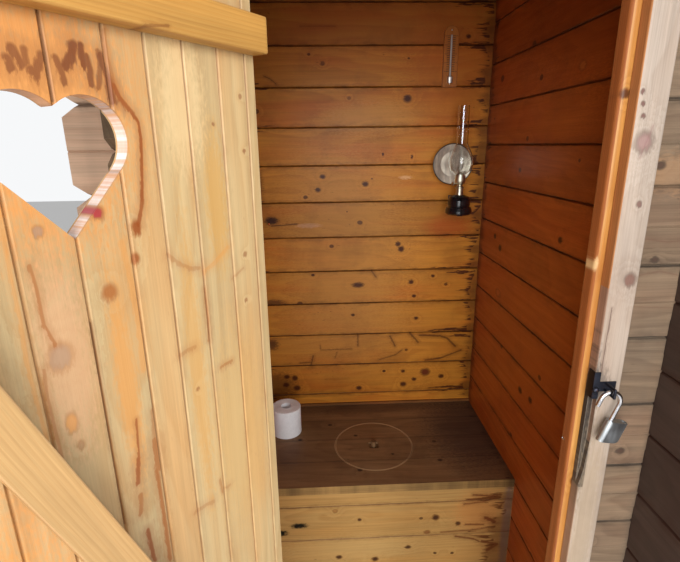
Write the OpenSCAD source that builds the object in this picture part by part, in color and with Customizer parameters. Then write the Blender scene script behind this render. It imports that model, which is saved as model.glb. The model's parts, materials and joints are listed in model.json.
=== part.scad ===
// Wooden outhouse: a one-seat cabin of notched planks with a pent roof, a right-hand wall that runs on
// forward as a wing, a ledged and braced door with a heart cut through it, and a bench with a round lid.
// Sizes in millimetres. X runs across the front, Y into the cabin, Z up from the ground.
// The origin is on the ground in the middle of the right-hand wall's length and of the cabin's width.

/* [Cabin] */
// Clear width between the side walls
inner_w = 858; // [780:1:1100]
// Clear depth from the front wall to the back wall
inner_d = 960; // [860:1:1300]
// Number of plank courses in the back wall
back_courses = 15; // [15:1:17]
// Face height of one wall plank
plank_h = 130; // [126:1:140]
// Thickness of the wall planks
wall_t = 28; // [26:1:38]
// Depth of the bevels along a plank's edges
bevel = 3.5; // [2:0.5:5]
// Depth of the groove along the middle of a plank's outer face
mid_groove = 2; // [1:0.5:3]
// How far the right-hand wall runs forward past the front wall
wing_out = 214; // [150:1:230]
// How far the left wall's plank ends stand out past the front wall
stub_front = 64; // [50:1:90]
// How far the side walls' plank ends stand out past the back wall
stub_back = 70; // [50:1:90]
// How far the front and back walls' plank ends stand out past the side walls
stub_side = 83; // [60:1:100]
// Length of the corners cut off two planks where they meet at a wall's end
end_cut = 25; // [15:1:35]
// Height of those cut corners
end_drop = 17; // [10:1:24]
// Side play in a corner notch
notch_play = 0.5; // [0.3:0.1:1.5]

/* [Base] */
// Height of the ground bearers
bearer_h = 70; // [50:1:120]
// Width of the ground bearers
bearer_w = 70; // [50:1:90]
// Thickness of the floor boards
floor_t = 20; // [16:1:28]
// Width of one floor board
floor_board = 96; // [80:1:140]

/* [Roof] */
// Slope of the roof, falling to the back, in degrees
roof_slope = 10; // [6:0.5:14]
// Thickness of the roof boards
deck_t = 20; // [16:1:25]
// Width of one roof board
deck_board = 95; // [80:1:140]
// Overhang past the front ends of the side walls
eave_front = 90; // [60:1:160]
// Overhang past the back ends of the side walls
eave_back = 60; // [40:1:120]
// Width of the roof boards' part past the plank ends at each side
eave_side = 40; // [30:1:100]
// Height of the fascia boards
fascia_h = 95; // [70:1:140]
// Thickness of the fascia boards
fascia_t = 21; // [16:1:28]
// Thickness of one layer of roofing felt
felt_t = 4; // [3:0.5:6]
// Number of felt strips up the slope
felt_strips = 3; // [2:1:4]
// Overlap of the felt strips
felt_lap = 80; // [50:1:120]

/* [Doorway] */
// Clear width between the frame posts
doorway_w = 564; // [540:1:620]
// Width of a frame post
post_w = 45; // [36:1:60]
// Radius of the frame post's rounded arris
post_r = 8; // [4:0.5:12]
// Underside of the head above the floor
doorway_h = 1772; // [1740:1:1800]
// Depth of the head and the threshold
frame_d = 45; // [45:1:60]
// Thickness of the head
head_t = 28; // [20:1:40]
// Height of the threshold above the floor
sill_h = 25; // [15:1:35]
// Height of the door stop on the threshold and under the head
stop_h = 15; // [8:1:25]
// Width of the outside trim boards
trim_w = 48; // [40:1:70]
// Thickness of the outside trim boards
trim_t = 24; // [18:1:30]
// Step from the frame post's edge back to the trim board
trim_step = 13; // [9:1:20]

/* [Door] */
// Thickness of the door boards
door_t = 24; // [20:1:28]
// Gap between the door and the frame post on the hinge side
gap_hinge = 5; // [5:0.5:8]
// Gap between the door and the frame on the other sides
gap_door = 6; // [5:0.5:10]
// How far the door stands proud of the front wall
door_proud = 6; // [2:0.5:10]
// Gap between the closed door and its stops
gap_stop = 5; // [5:0.5:8]
// Depth of the bevels between the door boards
door_bevel = 2.5; // [1.5:0.5:4]
// Angle at which the door stands open, in degrees
door_open = 125; // [90:1:130]
// Width of the heart
heart_w = 146; // [110:1:170]
// Height of the heart from its tip to the top of its lobes
heart_h = 139; // [115:1:160]
// Height of the heart's tip above the floor
heart_tip = 1391; // [1300:1:1420]
// Offset of the heart from the door's middle joint
heart_off = 0.6; // [0.2:0.2:2]
// Radius of the heart's lobes
heart_r = 43; // [36:1:48]
// Width of the ledges and the brace
ledge_w = 45; // [36:1:60]
// Thickness of the ledges and the brace
ledge_t = 27; // [20:1:34]
// Underside of the top ledge above the floor
ledge_top = 1597; // [1560:1:1640]
// Underside of the bottom ledge above the floor
ledge_low = 250; // [120:1:300]
// How far the ledges stay back from the free edge of the door
ledge_in = 5; // [4:1:20]
// Length of the brace's slanted end cut
brace_cut = 48; // [40:1:60]
// Distance from the door's edges to the brace's corners
brace_in = 5; // [4:1:30]
// Radius of the planed edges on ledges, trims and fascias
edge_r = 3; // [1:0.5:5]

/* [Door ironwork] */
// Height of a hinge
hinge_h = 80; // [60:1:120]
// Outer radius of the hinge knuckle
knuckle_r = 5.5; // [5:0.5:7]
// Radius of the hinge pin
pin_r = 3; // [2:0.5:4]
// Thickness of the hinge leaves
leaf_t = 1.6; // [1.2:0.1:2]
// Width of the hinge leaves in the gap
leaf_w = 20; // [16:1:22]
// Running clearance in the hinge
hinge_play = 0.1; // [0.05:0.05:0.2]
// Height of the pull's lower end above the floor
pull_z = 870; // [820:1:890]
// Length of the pull
pull_h = 150; // [110:1:180]
// Width of the pull
pull_w = 25; // [20:1:32]
// Finger room behind the pull
pull_out = 30; // [26:1:40]
// Distance of the pull from the door's free edge
pull_in = 70; // [60:1:110]
// Height of the staple above the floor
staple_z = 1072; // [1000:1:1120]
// Radius of the staple bar
staple_r = 2.5; // [2:0.5:4]
// Width of the strip split off the trim board's edge under the staple
split_w = 9; // [4:1:12]
// Length of that strip
split_len = 180; // [120:10:260]

/* [Padlock] */
// Width of the padlock body
lock_w = 49; // [48:1:54]
// Height of the padlock body
lock_h = 41; // [34:1:46]
// Thickness of the padlock body
lock_t = 14; // [12:1:16]
// Radius of the body's lower corner away from the shackle's long leg
lock_corner = 15; // [8:1:20]
// Radius of the shackle bar
shackle_r = 3.8; // [3.4:0.1:4.2]
// Distance between the middles of the shackle's legs
shackle_w = 35; // [33:1:36]
// Length of the shackle's long leg above the body
shackle_h = 33; // [26:1:40]
// Length of the shackle's free leg
shackle_free = 14; // [6:1:20]
// Tilt of the hanging padlock, in degrees
lock_tilt = 19; // [0:1:24]
// Turn of the open body about the shackle's long leg, in degrees
lock_turn = 18; // [4:1:18]

/* [Bench] */
// Height of the bench above the floor
bench_h = 450; // [420:1:500]
// Depth of the bench
bench_d = 487; // [440:1:520]
// Thickness of the bench boards
bench_t = 28; // [20:1:32]
// Diameter of the lid
lid_d = 271; // [250:1:290]
// Thickness of the lid
lid_t = 14; // [10:1:16]
// Gap around the lid
lid_gap = 2; // [1:0.5:3]
// Gap under the resting lid
lid_seat = 0.3; // [0.3:0.1:0.5]
// Width of the ledge that carries the lid
lid_rest = 20; // [12:1:30]
// Distance from the lid's middle to the back wall
lid_back = 282; // [240:1:300]
// Diameter of the lid's knob
knob_d = 18; // [12:1:24]
// Height of the knob above the lid
knob_h = 16; // [10:1:24]
// Side of the dark recess round the knob
recess_w = 34; // [28:1:40]
// Thickness of the bench cleats
cleat_t = 22; // [18:1:30]
// Height of the bench cleats
cleat_h = 45; // [36:1:60]
// Side of the lath along the back of the bench
lath = 9; // [6:1:16]

/* [Furnishings] */
// Diameter of the paper roll
roll_d = 108; // [95:1:120]
// Height of the paper roll
roll_h = 107; // [95:1:120]
// Diameter of the roll's core
roll_core = 42; // [38:1:46]
// Distance from the roll's middle to the left wall
roll_side = 115; // [70:1:160]
// Distance from the roll's middle to the back wall
roll_back = 178; // [100:1:220]
// Distance from the lamp's axis to the right wall
lamp_side = 120; // [90:1:160]
// Distance from the lamp's axis to the back wall
lamp_back = 108; // [100:1:130]
// Height of the lamp's foot above the floor
lamp_z = 1244; // [1200:1:1260]
// Diameter of the lamp's oil reservoir
lamp_d = 90; // [80:1:110]
// Height of the lamp's oil reservoir
lamp_h = 67; // [50:1:80]
// Height of the lamp's burner
burner_h = 68; // [50:1:80]
// Diameter of the round gallery on top of the burner
burner_d = 36; // [32:1:42]
// Diameter of the lamp's reflector
reflector_d = 140; // [130:1:160]
// How far the reflector's middle lies to the left of the lamp's axis
reflector_side = 10; // [0:1:16]
// Distance from the middle of the reflector to the back wall
reflector_back = 34; // [28:1:40]
// Height of the reflector's middle above the lamp's foot
reflector_h = 167; // [150:1:190]
// Height of the lamp's chimney
chimney_h = 221; // [200:1:260]
// Diameter of the chimney's globe
globe_d = 84; // [70:1:90]
// Diameter of the chimney's tube
tube_d = 36; // [28:1:42]
// Thickness of the chimney's glass
glass_t = 1.5; // [1.2:0.1:2]
// Height of the thermometer
thermo_h = 190; // [160:1:230]
// Width of the thermometer
thermo_w = 50; // [36:1:60]
// Thickness of the thermometer board
thermo_t = 8; // [5:1:12]
// Height of the thermometer's lower end above the floor
thermo_z = 1667; // [1600:1:1680]
// Distance from the thermometer's middle to the right wall
thermo_side = 146; // [110:1:180]

/* [Hidden] */
$fn = 48;
eps = 1;
side_len = wing_out + 2 * wall_t + inner_d + stub_back;
front_y = -side_len / 2 + wing_out;
front_in = front_y + wall_t;
back_in = front_in + inner_d;
back_y = back_in + wall_t;
end_y = side_len / 2;
side_in = inner_w / 2;
side_out = side_in + wall_t;
side_mid = side_in + wall_t / 2;
stub_x = side_out + stub_side;
floor_z = bearer_h + floor_t;
eaves_z = bearer_h + back_courses * plank_h;
first_half = bearer_h + plank_h / 2;
neck = plank_h / 4;
jamb_x = doorway_w / 2;
post_x = jamb_x + post_w;
head_z = floor_z + doorway_h;
lintel_z = head_z + head_t;
trim_x = jamb_x + trim_step;
trim_top = head_z + trim_step;
trim_front = front_y - trim_t;

// Door, in its closed place
door_y = front_y - door_proud;
door_in = door_y + door_t;
door_x0 = -jamb_x + gap_hinge;
door_x1 = jamb_x - gap_door;
door_w = door_x1 - door_x0;
door_mid = (door_x0 + door_x1) / 2;
door_z0 = floor_z + sill_h + gap_door;
door_z1 = head_z - gap_door;
pin_x = -jamb_x + gap_hinge / 2;
pin_y = door_y - knuckle_r;
board_faces = [58.5, 47, 51, 54, 49];
stop_y = door_in + gap_stop;
ledge_y = door_in + ledge_t;
brace_z0 = floor_z + ledge_low + ledge_w;
brace_z1 = floor_z + ledge_top;
brace_x0 = door_x0 + brace_in;
brace_x1 = door_x1 - ledge_in - brace_in;

// Roof, measured along the slope from the back edge upwards
roof_x = stub_x + eave_side;
roof_y0 = -end_y - eave_front;
roof_y1 = end_y + eave_back;
roof_len = (roof_y1 - roof_y0) / cos(roof_slope);
strip_len = (roof_len + (felt_strips - 1) * felt_lap) / felt_strips;

// Bench and furnishings
bench_z = floor_z + bench_h;
bench_y = back_in - bench_d;
lid_y = back_in - lid_back;
lid_z = bench_z - lid_t;
lid_cut = lid_t + lid_seat;
hole_r = lid_d / 2 - lid_rest;
roll_x = -side_in + roll_side;
roll_y = back_in - roll_back;
lamp_x = side_in - lamp_side;
lamp_y = back_in - lamp_back;
lamp_foot = floor_z + lamp_z;
lamp_neck = lamp_foot + lamp_h;
reflector_y = back_in - reflector_back;
reflector_z = lamp_foot + reflector_h;
thermo_x = side_in - thermo_side;
thermo_foot = floor_z + thermo_z;

// Staple and padlock, on the right-hand trim board
staple_x = trim_x + 21;
staple_out = 27;
staple_half = 7;
leaf_low = 22;
lock_y = trim_front - 19;
lock_side = lock_t / 2;
bow_z = floor_z + staple_z - staple_half + staple_r + shackle_r + 0.3 - shackle_w / 2;

// Height of the roof boards' underside at a depth y
function roof_z(y) = eaves_z + (back_y - y) * tan(roof_slope);

// Levels of the plank joints between z0 and z1, for courses that start at first
function joints(z0, z1, first) = [for (z = [first : plank_h : z1 - bevel - eps]) if (z > z0 + bevel + eps) z];

// Outline of one face of a plank wall: a bevelled notch at each joint
function face_points(z0, z1, first, side, groove) =
    let (t = side * wall_t / 2)
    concat([[t, z0]],
           [for (z = joints(z0, z1, first)) let (mid = z - plank_h / 2) each concat(
               groove > 0 && mid > z0 + 2 * groove ? groove_points(t, side, mid, groove) : [],
               groove_points(t, side, z, bevel))],
           [[t, z1]]);
function groove_points(t, side, z, d) = [[t, z - d], [t - side * d, z], [t, z + d]];
function flipped(list) = [for (i = [len(list) - 1 : -1 : 0]) list[i]];

// Section of a plank wall, with the outer face on the negative side
module wall_section(z0, z1, first) {
    polygon(concat(flipped(face_points(z0, z1, first, -1, mid_groove)), face_points(z0, z1, first, 1, 0)));
}

// Everything under the roof boards
module under_roof() {
    rotate([90, 0, 90])
        linear_extrude(height = 4 * roof_x, center = true)
            polygon([[-2 * end_y, 0], [2 * end_y, 0],
                     [2 * end_y, roof_z(2 * end_y)], [-2 * end_y, roof_z(-2 * end_y)]]);
}

// Corners cut off the planks at each joint of a wall's end, which points along turn, in degrees from X
module end_cuts(x, y, turn, z0, z1, first) {
    for (z = joints(z0 - plank_h, z1 + plank_h, first))
        translate([x, y, z])
            rotate([90, 0, turn])
                linear_extrude(height = wall_t + 2 * eps, center = true)
                    polygon([[-end_cut, 0], [0, -end_drop], [eps, -end_drop], [eps, end_drop], [0, end_drop]]);
}

// Plank wall across the cabin, with its outer face on the side that outer tells and its ends' corners cut
module cross_wall(x0, x1, y_mid, z0, z1, outer) {
    difference() {
        translate([x0, y_mid, 0])
            rotate([90, 0, 90])
                linear_extrude(height = x1 - x0)
                    mirror([outer, 0])
                        wall_section(z0, z1, bearer_h);
        if (x0 < -side_out) end_cuts(x0, y_mid, 180, z0, z1, bearer_h);
        if (x1 > side_out) end_cuts(x1, y_mid, 0, z0, z1, bearer_h);
    }
}

// Notches that let the side walls through a cross wall
module cross_notches(y_mid, side, z0, z1) {
    for (z = joints(z0 - plank_h, z1 + plank_h, bearer_h))
        translate([side * side_mid, y_mid, z])
            cube([wall_t + 2 * notch_play, wall_t + 2 * eps, 2 * neck], center = true);
}

// Front end of the side walls, left and right, and of the bearers under them
function front_end(side) = side > 0 ? -end_y : front_y - stub_front;

module side_wall(side) {
    color("peru")
        difference() {
            intersection() {
                translate([side * side_mid, end_y, 0])
                    rotate([90, 0, 0])
                        linear_extrude(height = end_y - front_end(side))
                            mirror([side > 0 ? 1 : 0, 0])
                                wall_section(bearer_h, roof_z(-end_y), first_half);
                under_roof();
            }
            for (y = [front_y + wall_t / 2, back_in + wall_t / 2])
                for (z = joints(bearer_h, roof_z(-end_y), first_half))
                    translate([side * side_mid, y, z])
                        cube([wall_t + 2 * eps, wall_t + 2 * notch_play, 2 * neck], center = true);
            end_cuts(side * side_mid, front_end(side), -90, bearer_h, roof_z(front_end(side)), first_half);
            end_cuts(side * side_mid, end_y, 90, bearer_h, roof_z(end_y), first_half);
        }
}

module left_wall() {
    side_wall(-1);
}

module right_wall() {
    side_wall(1);
}

module back_wall() {
    color("sandybrown")
        difference() {
            intersection() {
                cross_wall(-stub_x, stub_x, back_in + wall_t / 2, bearer_h, roof_z(back_in), 1);
                under_roof();
            }
            for (side = [-1, 1])
                cross_notches(back_in + wall_t / 2, side, bearer_h, roof_z(back_in));
        }
}

module front_wall_side(side) {
    color("tan")
        difference() {
            cross_wall(side > 0 ? post_x : -stub_x, side > 0 ? stub_x : -post_x, front_y + wall_t / 2,
                       bearer_h, lintel_z, 0);
            cross_notches(front_y + wall_t / 2, side, bearer_h, lintel_z);
        }
}

module front_wall_left() {
    front_wall_side(-1);
}

module front_wall_right() {
    front_wall_side(1);
}

module front_wall_over_door() {
    color("tan")
        difference() {
            intersection() {
                cross_wall(-stub_x, stub_x, front_y + wall_t / 2, lintel_z, roof_z(front_y), 0);
                under_roof();
            }
            for (side = [-1, 1])
                cross_notches(front_y + wall_t / 2, side, lintel_z, roof_z(front_y));
        }
}

module bearers() {
    color("dimgray")
        for (x = [-side_mid, 0, side_mid])
            translate([x - bearer_w / 2, front_end(x), 0])
                cube([bearer_w, end_y - front_end(x), bearer_h]);
}

// A row of boards laid side by side, as a section from 0 to length with bevels on its upper face
module board_row(length, width, thickness, cut) {
    polygon(concat([[0, 0], [0, thickness]],
                   [for (x = [width : width : length - cut - eps]) each
                       [[x - cut, thickness], [x, thickness - cut], [x + cut, thickness]]],
                   [[length, thickness], [length, 0]]));
}

module floor_boards() {
    color("burlywood")
        difference() {
            translate([-side_in, front_in, bearer_h])
                rotate([90, 0, 90])
                    linear_extrude(height = inner_w)
                        board_row(inner_d, floor_board, floor_t, 1.5);
            translate([-jamb_x, front_in - eps, bearer_h - eps])
                cube([doorway_w, frame_d - wall_t + eps, floor_t + 2 * eps]);
        }
}

module frame_post(side) {
    color("darkorange")
        mirror([side < 0 ? 1 : 0, 0, 0])
            translate([jamb_x, front_y, bearer_h])
                linear_extrude(height = lintel_z - bearer_h)
                    union() {
                        translate([post_r, 0])
                            square([post_w - post_r, wall_t]);
                        translate([0, post_r])
                            square([2 * post_r, wall_t - post_r]);
                        translate([post_r, post_r])
                            circle(r = post_r);
                    }
}

module frame_post_left() {
    frame_post(-1);
}

module frame_post_right() {
    frame_post(1);
}

module door_head() {
    deep_y = front_y + frame_d;
    color("darkorange")
        translate([-jamb_x, 0, 0])
            rotate([90, 0, 90])
                linear_extrude(height = doorway_w)
                    polygon([[front_y, head_z], [stop_y, head_z], [stop_y, head_z - stop_h],
                             [deep_y, head_z - stop_h], [deep_y, lintel_z], [front_y, lintel_z]]);
}

module threshold() {
    sill_z = floor_z + sill_h;
    deep_y = front_y + frame_d;
    color("darkorange")
        translate([-jamb_x, 0, 0])
            rotate([90, 0, 90])
                linear_extrude(height = doorway_w)
                    polygon([[front_y, bearer_h], [deep_y, bearer_h], [deep_y, sill_z + stop_h],
                             [stop_y, sill_z + stop_h], [stop_y, sill_z], [front_y, sill_z - 3]]);
}

// Section of a planed board with rounded edges
module planed(w, t) {
    translate([edge_r, 0])
        square([w - 2 * edge_r, t]);
    translate([0, edge_r])
        square([w, t - 2 * edge_r]);
    for (x = [edge_r, w - edge_r], y = [edge_r, t - edge_r])
        translate([x, y])
            circle(r = edge_r);
}

module trim_upright(side) {
    color("tan")
        translate([side > 0 ? trim_x : -trim_x - trim_w, trim_front, bearer_h])
            linear_extrude(height = trim_top - bearer_h)
                planed(trim_w, trim_t);
}

module trim_left() {
    trim_upright(-1);
}

// The right-hand board has lost a strip of its edge under the staple
module trim_right() {
    split_top = floor_z + staple_z - leaf_low;
    color("tan")
        difference() {
            trim_upright(1);
            translate([trim_x, trim_front + 11, split_top])
                rotate([90, 0, 0])
                    linear_extrude(height = 12)
                        polygon([[-eps, 0], [split_w, 0], [split_w, -0.45 * split_len],
                                 [0.6 * split_w, -0.8 * split_len], [0, -split_len], [-eps, -split_len]]);
        }
}

module trim_head() {
    color("tan")
        translate([-trim_x - trim_w, front_y, trim_top])
            rotate([90, 0, 90])
                linear_extrude(height = 2 * (trim_x + trim_w))
                    translate([-trim_t, 0])
                        planed(trim_t, trim_w);
}

// Places its children on the roof's slope: X across, Y up the slope from the back edge, Z out of the roof
module on_roof() {
    translate([0, roof_y1, roof_z(roof_y1)])
        rotate([roof_slope, 0, 180])
            children();
}

module roof_boards() {
    color("burlywood")
        on_roof()
            translate([-roof_x, 0, 0])
                rotate([90, 0, 90])
                    linear_extrude(height = 2 * roof_x)
                        translate([0, deck_t])
                            mirror([0, 1])
                                board_row(roof_len, deck_board, deck_t, 2);
}

// The strips lie like scales: each one laps over the top edge of the one below it
module roofing_felt() {
    pitch = strip_len - felt_lap;
    color("darkslategray")
        on_roof()
            translate([-roof_x, 0, deck_t])
                rotate([90, 0, 90])
                    linear_extrude(height = 2 * roof_x)
                        union() {
                            square([roof_len, felt_t]);
                            for (i = [1 : felt_strips - 1])
                                translate([i * pitch, 0])
                                    square([felt_lap, 2 * felt_t]);
                        }
}

// A board on edge along the roof's low or high end, square to the slope
module fascia(end) {
    color("tan")
        on_roof()
            translate([-roof_x, end, deck_t - fascia_h])
                rotate([90, 0, 90])
                    linear_extrude(height = 2 * roof_x)
                        planed(fascia_t, fascia_h);
}

module front_fascia() {
    fascia(roof_len);
}

module back_fascia() {
    fascia(-fascia_t);
}

module barge_boards() {
    color("tan")
        on_roof()
            for (side = [-1, 1])
                translate([side > 0 ? roof_x : -roof_x - fascia_t, roof_len + fascia_t, deck_t - fascia_h])
                    rotate([90, 0, 0])
                        linear_extrude(height = roof_len + 2 * fascia_t)
                            planed(fascia_t, fascia_h);
}

// Turns the closed door about its hinge pins to the angle at which it stands open
module hung() {
    translate([pin_x, pin_y, 0])
        rotate([0, 0, -door_open])
            translate([-pin_x, -pin_y, 0])
                children();
}

// Places of the board joints across the door, from the hinge edge
function face_sum(n) = n == 0 ? 0 : board_faces[n - 1] + face_sum(n - 1);
half_joints = [for (i = [0 : len(board_faces)]) if (face_sum(i) < door_w / 2 - 2 * door_bevel) face_sum(i)];
door_joints = concat([for (i = [len(half_joints) - 1 : -1 : 1]) door_w / 2 - half_joints[i]],
                     [for (d = half_joints) door_w / 2 + d]);

module heart() {
    lobe_x = heart_w / 2 - heart_r;
    lobe_z = heart_h - heart_r;
    reach = sqrt(lobe_x * lobe_x + lobe_z * lobe_z);
    low = -atan2(lobe_x, lobe_z) - asin(heart_r / reach);
    high = acos(-lobe_x / heart_r);
    arc = [for (i = [0 : 36]) let (a = low + (high - low) * i / 36)
        [lobe_x + heart_r * cos(a), lobe_z + heart_r * sin(a)]];
    polygon(concat([[0, 0]], arc, [for (p = flipped(arc)) if (p[0] > 0.01) [-p[0], p[1]]]));
}

module door_section() {
    polygon(concat([[0, 0]], [for (x = door_joints) each groove_x(x, 0, door_bevel)],
                   [[door_w, 0], [door_w, door_t]],
                   [for (x = flipped(door_joints)) each groove_x(x, door_t, -door_bevel)],
                   [[0, door_t]]));
}

function groove_x(x, y, d) = [[x - d, y], [x, y + d], [x + d, y]];

module door_boards() {
    color("wheat")
        hung()
            difference() {
                translate([door_x0, door_y, door_z0])
                    linear_extrude(height = door_z1 - door_z0)
                        door_section();
                translate([door_mid + heart_off, door_in + eps, floor_z + heart_tip])
                    rotate([90, 0, 0])
                        linear_extrude(height = door_t + 2 * eps)
                            heart();
            }
}

module door_ledges() {
    color("goldenrod")
        hung()
            for (z = [floor_z + ledge_low, floor_z + ledge_top])
                translate([door_x0, door_in, z])
                    rotate([90, 0, 90])
                        linear_extrude(height = door_w - ledge_in)
                            planed(ledge_t, ledge_w);
}

module door_brace() {
    color("goldenrod")
        hung()
            translate([0, door_in + ledge_t, 0])
                rotate([90, 0, 0])
                    linear_extrude(height = ledge_t)
                        polygon([[brace_x0, brace_z0], [brace_x0 + brace_cut, brace_z0],
                                 [brace_x1, brace_z1], [brace_x1 - brace_cut, brace_z1]]);
}

function hinge_levels() = [for (z = [ledge_low, ledge_top]) floor_z + z + ledge_w / 2];

module knuckle(z0, z1) {
    translate([0, 0, z0])
        cylinder(r = knuckle_r, h = z1 - z0);
}

module door_hinge_leaves() {
    color("dimgray")
        hung()
            for (z = hinge_levels())
                translate([pin_x, pin_y, z])
                    difference() {
                        union() {
                            translate([gap_hinge / 2 - leaf_t, 0, -hinge_h / 2])
                                cube([leaf_t, leaf_w + knuckle_r, hinge_h]);
                            knuckle(-hinge_h / 6, hinge_h / 6);
                        }
                        for (side = [-1, 1])
                            translate([0, 0, side * hinge_h / 3])
                                cylinder(r = knuckle_r + 0.6, h = hinge_h / 3 + 0.6, center = true);
                        cylinder(r = pin_r + hinge_play, h = hinge_h + 2 * eps, center = true);
                    }
}

module frame_hinge_leaves() {
    color("dimgray")
        for (z = hinge_levels())
            translate([pin_x, pin_y, z])
                union() {
                    difference() {
                        union() {
                            translate([-gap_hinge / 2, 0, -hinge_h / 2])
                                cube([leaf_t, leaf_w + knuckle_r + door_proud, hinge_h]);
                            for (side = [-1, 1])
                                translate([0, 0, side * hinge_h / 3])
                                    cylinder(r = knuckle_r, h = hinge_h / 3, center = true);
                        }
                        cylinder(r = knuckle_r + 0.6, h = hinge_h / 3 + 0.6, center = true);
                    }
                    cylinder(r = pin_r, h = hinge_h + 6, center = true);
                }
}

// Wooden pull on the outer face of the door
module door_pull() {
    color("tan")
        hung()
            translate([door_x1 - pull_in, door_y, floor_z + pull_z])
                union() {
                    for (z = [0, pull_h - 1.2 * pull_w])
                        translate([0, -pull_out, z])
                            cube([pull_w, pull_out, 1.2 * pull_w]);
                    translate([0, -pull_out - 0.8 * pull_w, 0])
                        cube([pull_w, 0.8 * pull_w, pull_h]);
                }
}

// Strap of the hasp, swung back along the door's outer face
module hasp_strap() {
    color("darkslategray")
        hung()
            translate([door_x1 - 130, door_y - 2.5, floor_z + staple_z - 17])
                difference() {
                    cube([112, 2.5, 34]);
                    translate([10, -eps, 11])
                        cube([34, 2.5 + 2 * eps, 12]);
                }
}

// Plate bent round the trim board's edge, with its bolt and the eye that the padlock hangs in
module hasp_staple() {
    z = floor_z + staple_z;
    color("darkslategray")
        translate([0, trim_front, z])
            union() {
                translate([trim_x - 2, -2, -8])
                    cube([40, 2, 18]);
                translate([trim_x - 2, -2, -leaf_low])
                    cube([11, 2, leaf_low + 28]);
                translate([trim_x - 2, -2, -leaf_low])
                    cube([2, 18, leaf_low + 28]);
                translate([trim_x + 3, -1, -5])
                    rotate([90, 0, 0])
                        rotate_extrude()
                            polygon([[0, 0], [6, 0], [6, 2], [4.5, 4.5], [2, 5.6], [0, 5.8]]);
                for (side = [-1, 1])
                    translate([staple_x, -1, side * staple_half])
                        rotate([90, 0, 0])
                            cylinder(r = staple_r, h = staple_out - 1);
                translate([staple_x, -staple_out, -staple_half])
                    cylinder(r = staple_r, h = 2 * staple_half);
                for (side = [-1, 1])
                    translate([staple_x, -staple_out, side * staple_half])
                        sphere(r = staple_r);
            }
}

// Frame of the tilted padlock: origin in the middle of the bow that hangs on the staple, Z along its legs
module hanging() {
    translate([staple_x, lock_y, bow_z])
        rotate([0, lock_tilt, 0])
            children();
}

module padlock_shackle() {
    color("silver")
        hanging()
            union() {
                rotate([90, 0, 0])
                    rotate_extrude(angle = 180)
                        translate([shackle_w / 2, 0])
                            circle(r = shackle_r);
                translate([shackle_w / 2, 0, -shackle_h])
                    cylinder(r = shackle_r, h = shackle_h);
                translate([-shackle_w / 2, 0, -shackle_free])
                    cylinder(r = shackle_r, h = shackle_free);
            }
}

// Front view of the padlock's body, with a small and a large lower corner
module lock_face() {
    square([lock_w - lock_corner, lock_h]);
    translate([0, lock_corner])
        square([lock_w, lock_h - lock_corner]);
    translate([lock_w - lock_corner, lock_corner])
        circle(r = lock_corner);
}

// Section of the padlock's body: a slab with round sides
module lock_section() {
    translate([0, -lock_t / 2])
        square([lock_w - 2 * lock_side, lock_t]);
    for (x = [0, lock_w - 2 * lock_side])
        translate([x, 0])
            circle(r = lock_t / 2);
}

module padlock_body() {
    color("gray")
        hanging()
            translate([shackle_w / 2, 0, -shackle_h - lock_h])
                rotate([0, 0, lock_turn])
                    difference() {
                        intersection() {
                            linear_extrude(height = lock_h)
                                lock_section();
                            rotate([90, 0, 0])
                                linear_extrude(height = lock_t + 2 * eps, center = true)
                                    translate([-lock_side, 0])
                                        lock_face();
                        }
                        translate([shackle_w, 0, lock_h - 12])
                            cylinder(r = shackle_r + 0.5, h = 12 + eps);
                    }
}

module bench_top() {
    color("sienna")
        difference() {
            translate([-side_in, bench_y, bench_z - bench_t])
                cube([inner_w, bench_d, bench_t]);
            translate([0, lid_y, bench_z - bench_t - eps])
                cylinder(r = hole_r, h = bench_t + 2 * eps);
            translate([0, lid_y, bench_z - lid_cut])
                cylinder(r = lid_d / 2 + lid_gap, h = lid_cut + eps);
        }
}

module bench_front() {
    height = bench_h - bench_t;
    color("goldenrod")
        translate([-side_in, bench_y + bench_t, floor_z])
            rotate([90, 0, 90])
                linear_extrude(height = inner_w)
                    mirror([1, 0])
                        difference() {
                            square([bench_t, height]);
                            for (z = [bench_h - 75, bench_h - 75 - plank_h, bench_h - 75 - 2 * plank_h])
                                translate([bench_t, z])
                                    rotate(45)
                                        square(bevel, center = true);
                        }
}

module bench_cleats() {
    color("burlywood")
        for (side = [-1, 1])
            translate([side > 0 ? side_in - cleat_t : -side_in, bench_y + bench_t, bench_z - bench_t - cleat_h])
                cube([cleat_t, bench_d - bench_t, cleat_h]);
}

module bench_lath() {
    color("wheat")
        translate([-side_in, back_in - lath, bench_z])
            cube([inner_w, lath, lath]);
}

module bench_lid() {
    color("sienna")
        difference() {
            translate([0, lid_y, lid_z])
                cylinder(r = lid_d / 2, h = lid_t);
            translate([0, lid_y, bench_z])
                cube([recess_w, recess_w, lid_t], center = true);
        }
}

module lid_knob() {
    color("wheat")
        translate([0, lid_y, bench_z - lid_t / 2])
            cylinder(r = knob_d / 2, h = lid_t / 2 + knob_h);
}

module paper_roll() {
    color("white")
        translate([roll_x, roll_y, bench_z])
            difference() {
                cylinder(r = roll_d / 2, h = roll_h);
                translate([0, 0, -eps])
                    cylinder(r = roll_core / 2, h = roll_h + 2 * eps);
            }
}

module lamp_reservoir() {
    color("black")
        translate([lamp_x, lamp_y, lamp_foot])
            rotate_extrude()
                polygon([[0, 0], [0.44 * lamp_d, 0], [0.5 * lamp_d, 5], [0.5 * lamp_d, 14], [0.46 * lamp_d, 24],
                         [0.4 * lamp_d, 28], [0.42 * lamp_d, 34], [0.42 * lamp_d, lamp_h - 18],
                         [0.36 * lamp_d, lamp_h - 6], [0.2 * lamp_d, lamp_h], [0, lamp_h]]);
}

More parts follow.
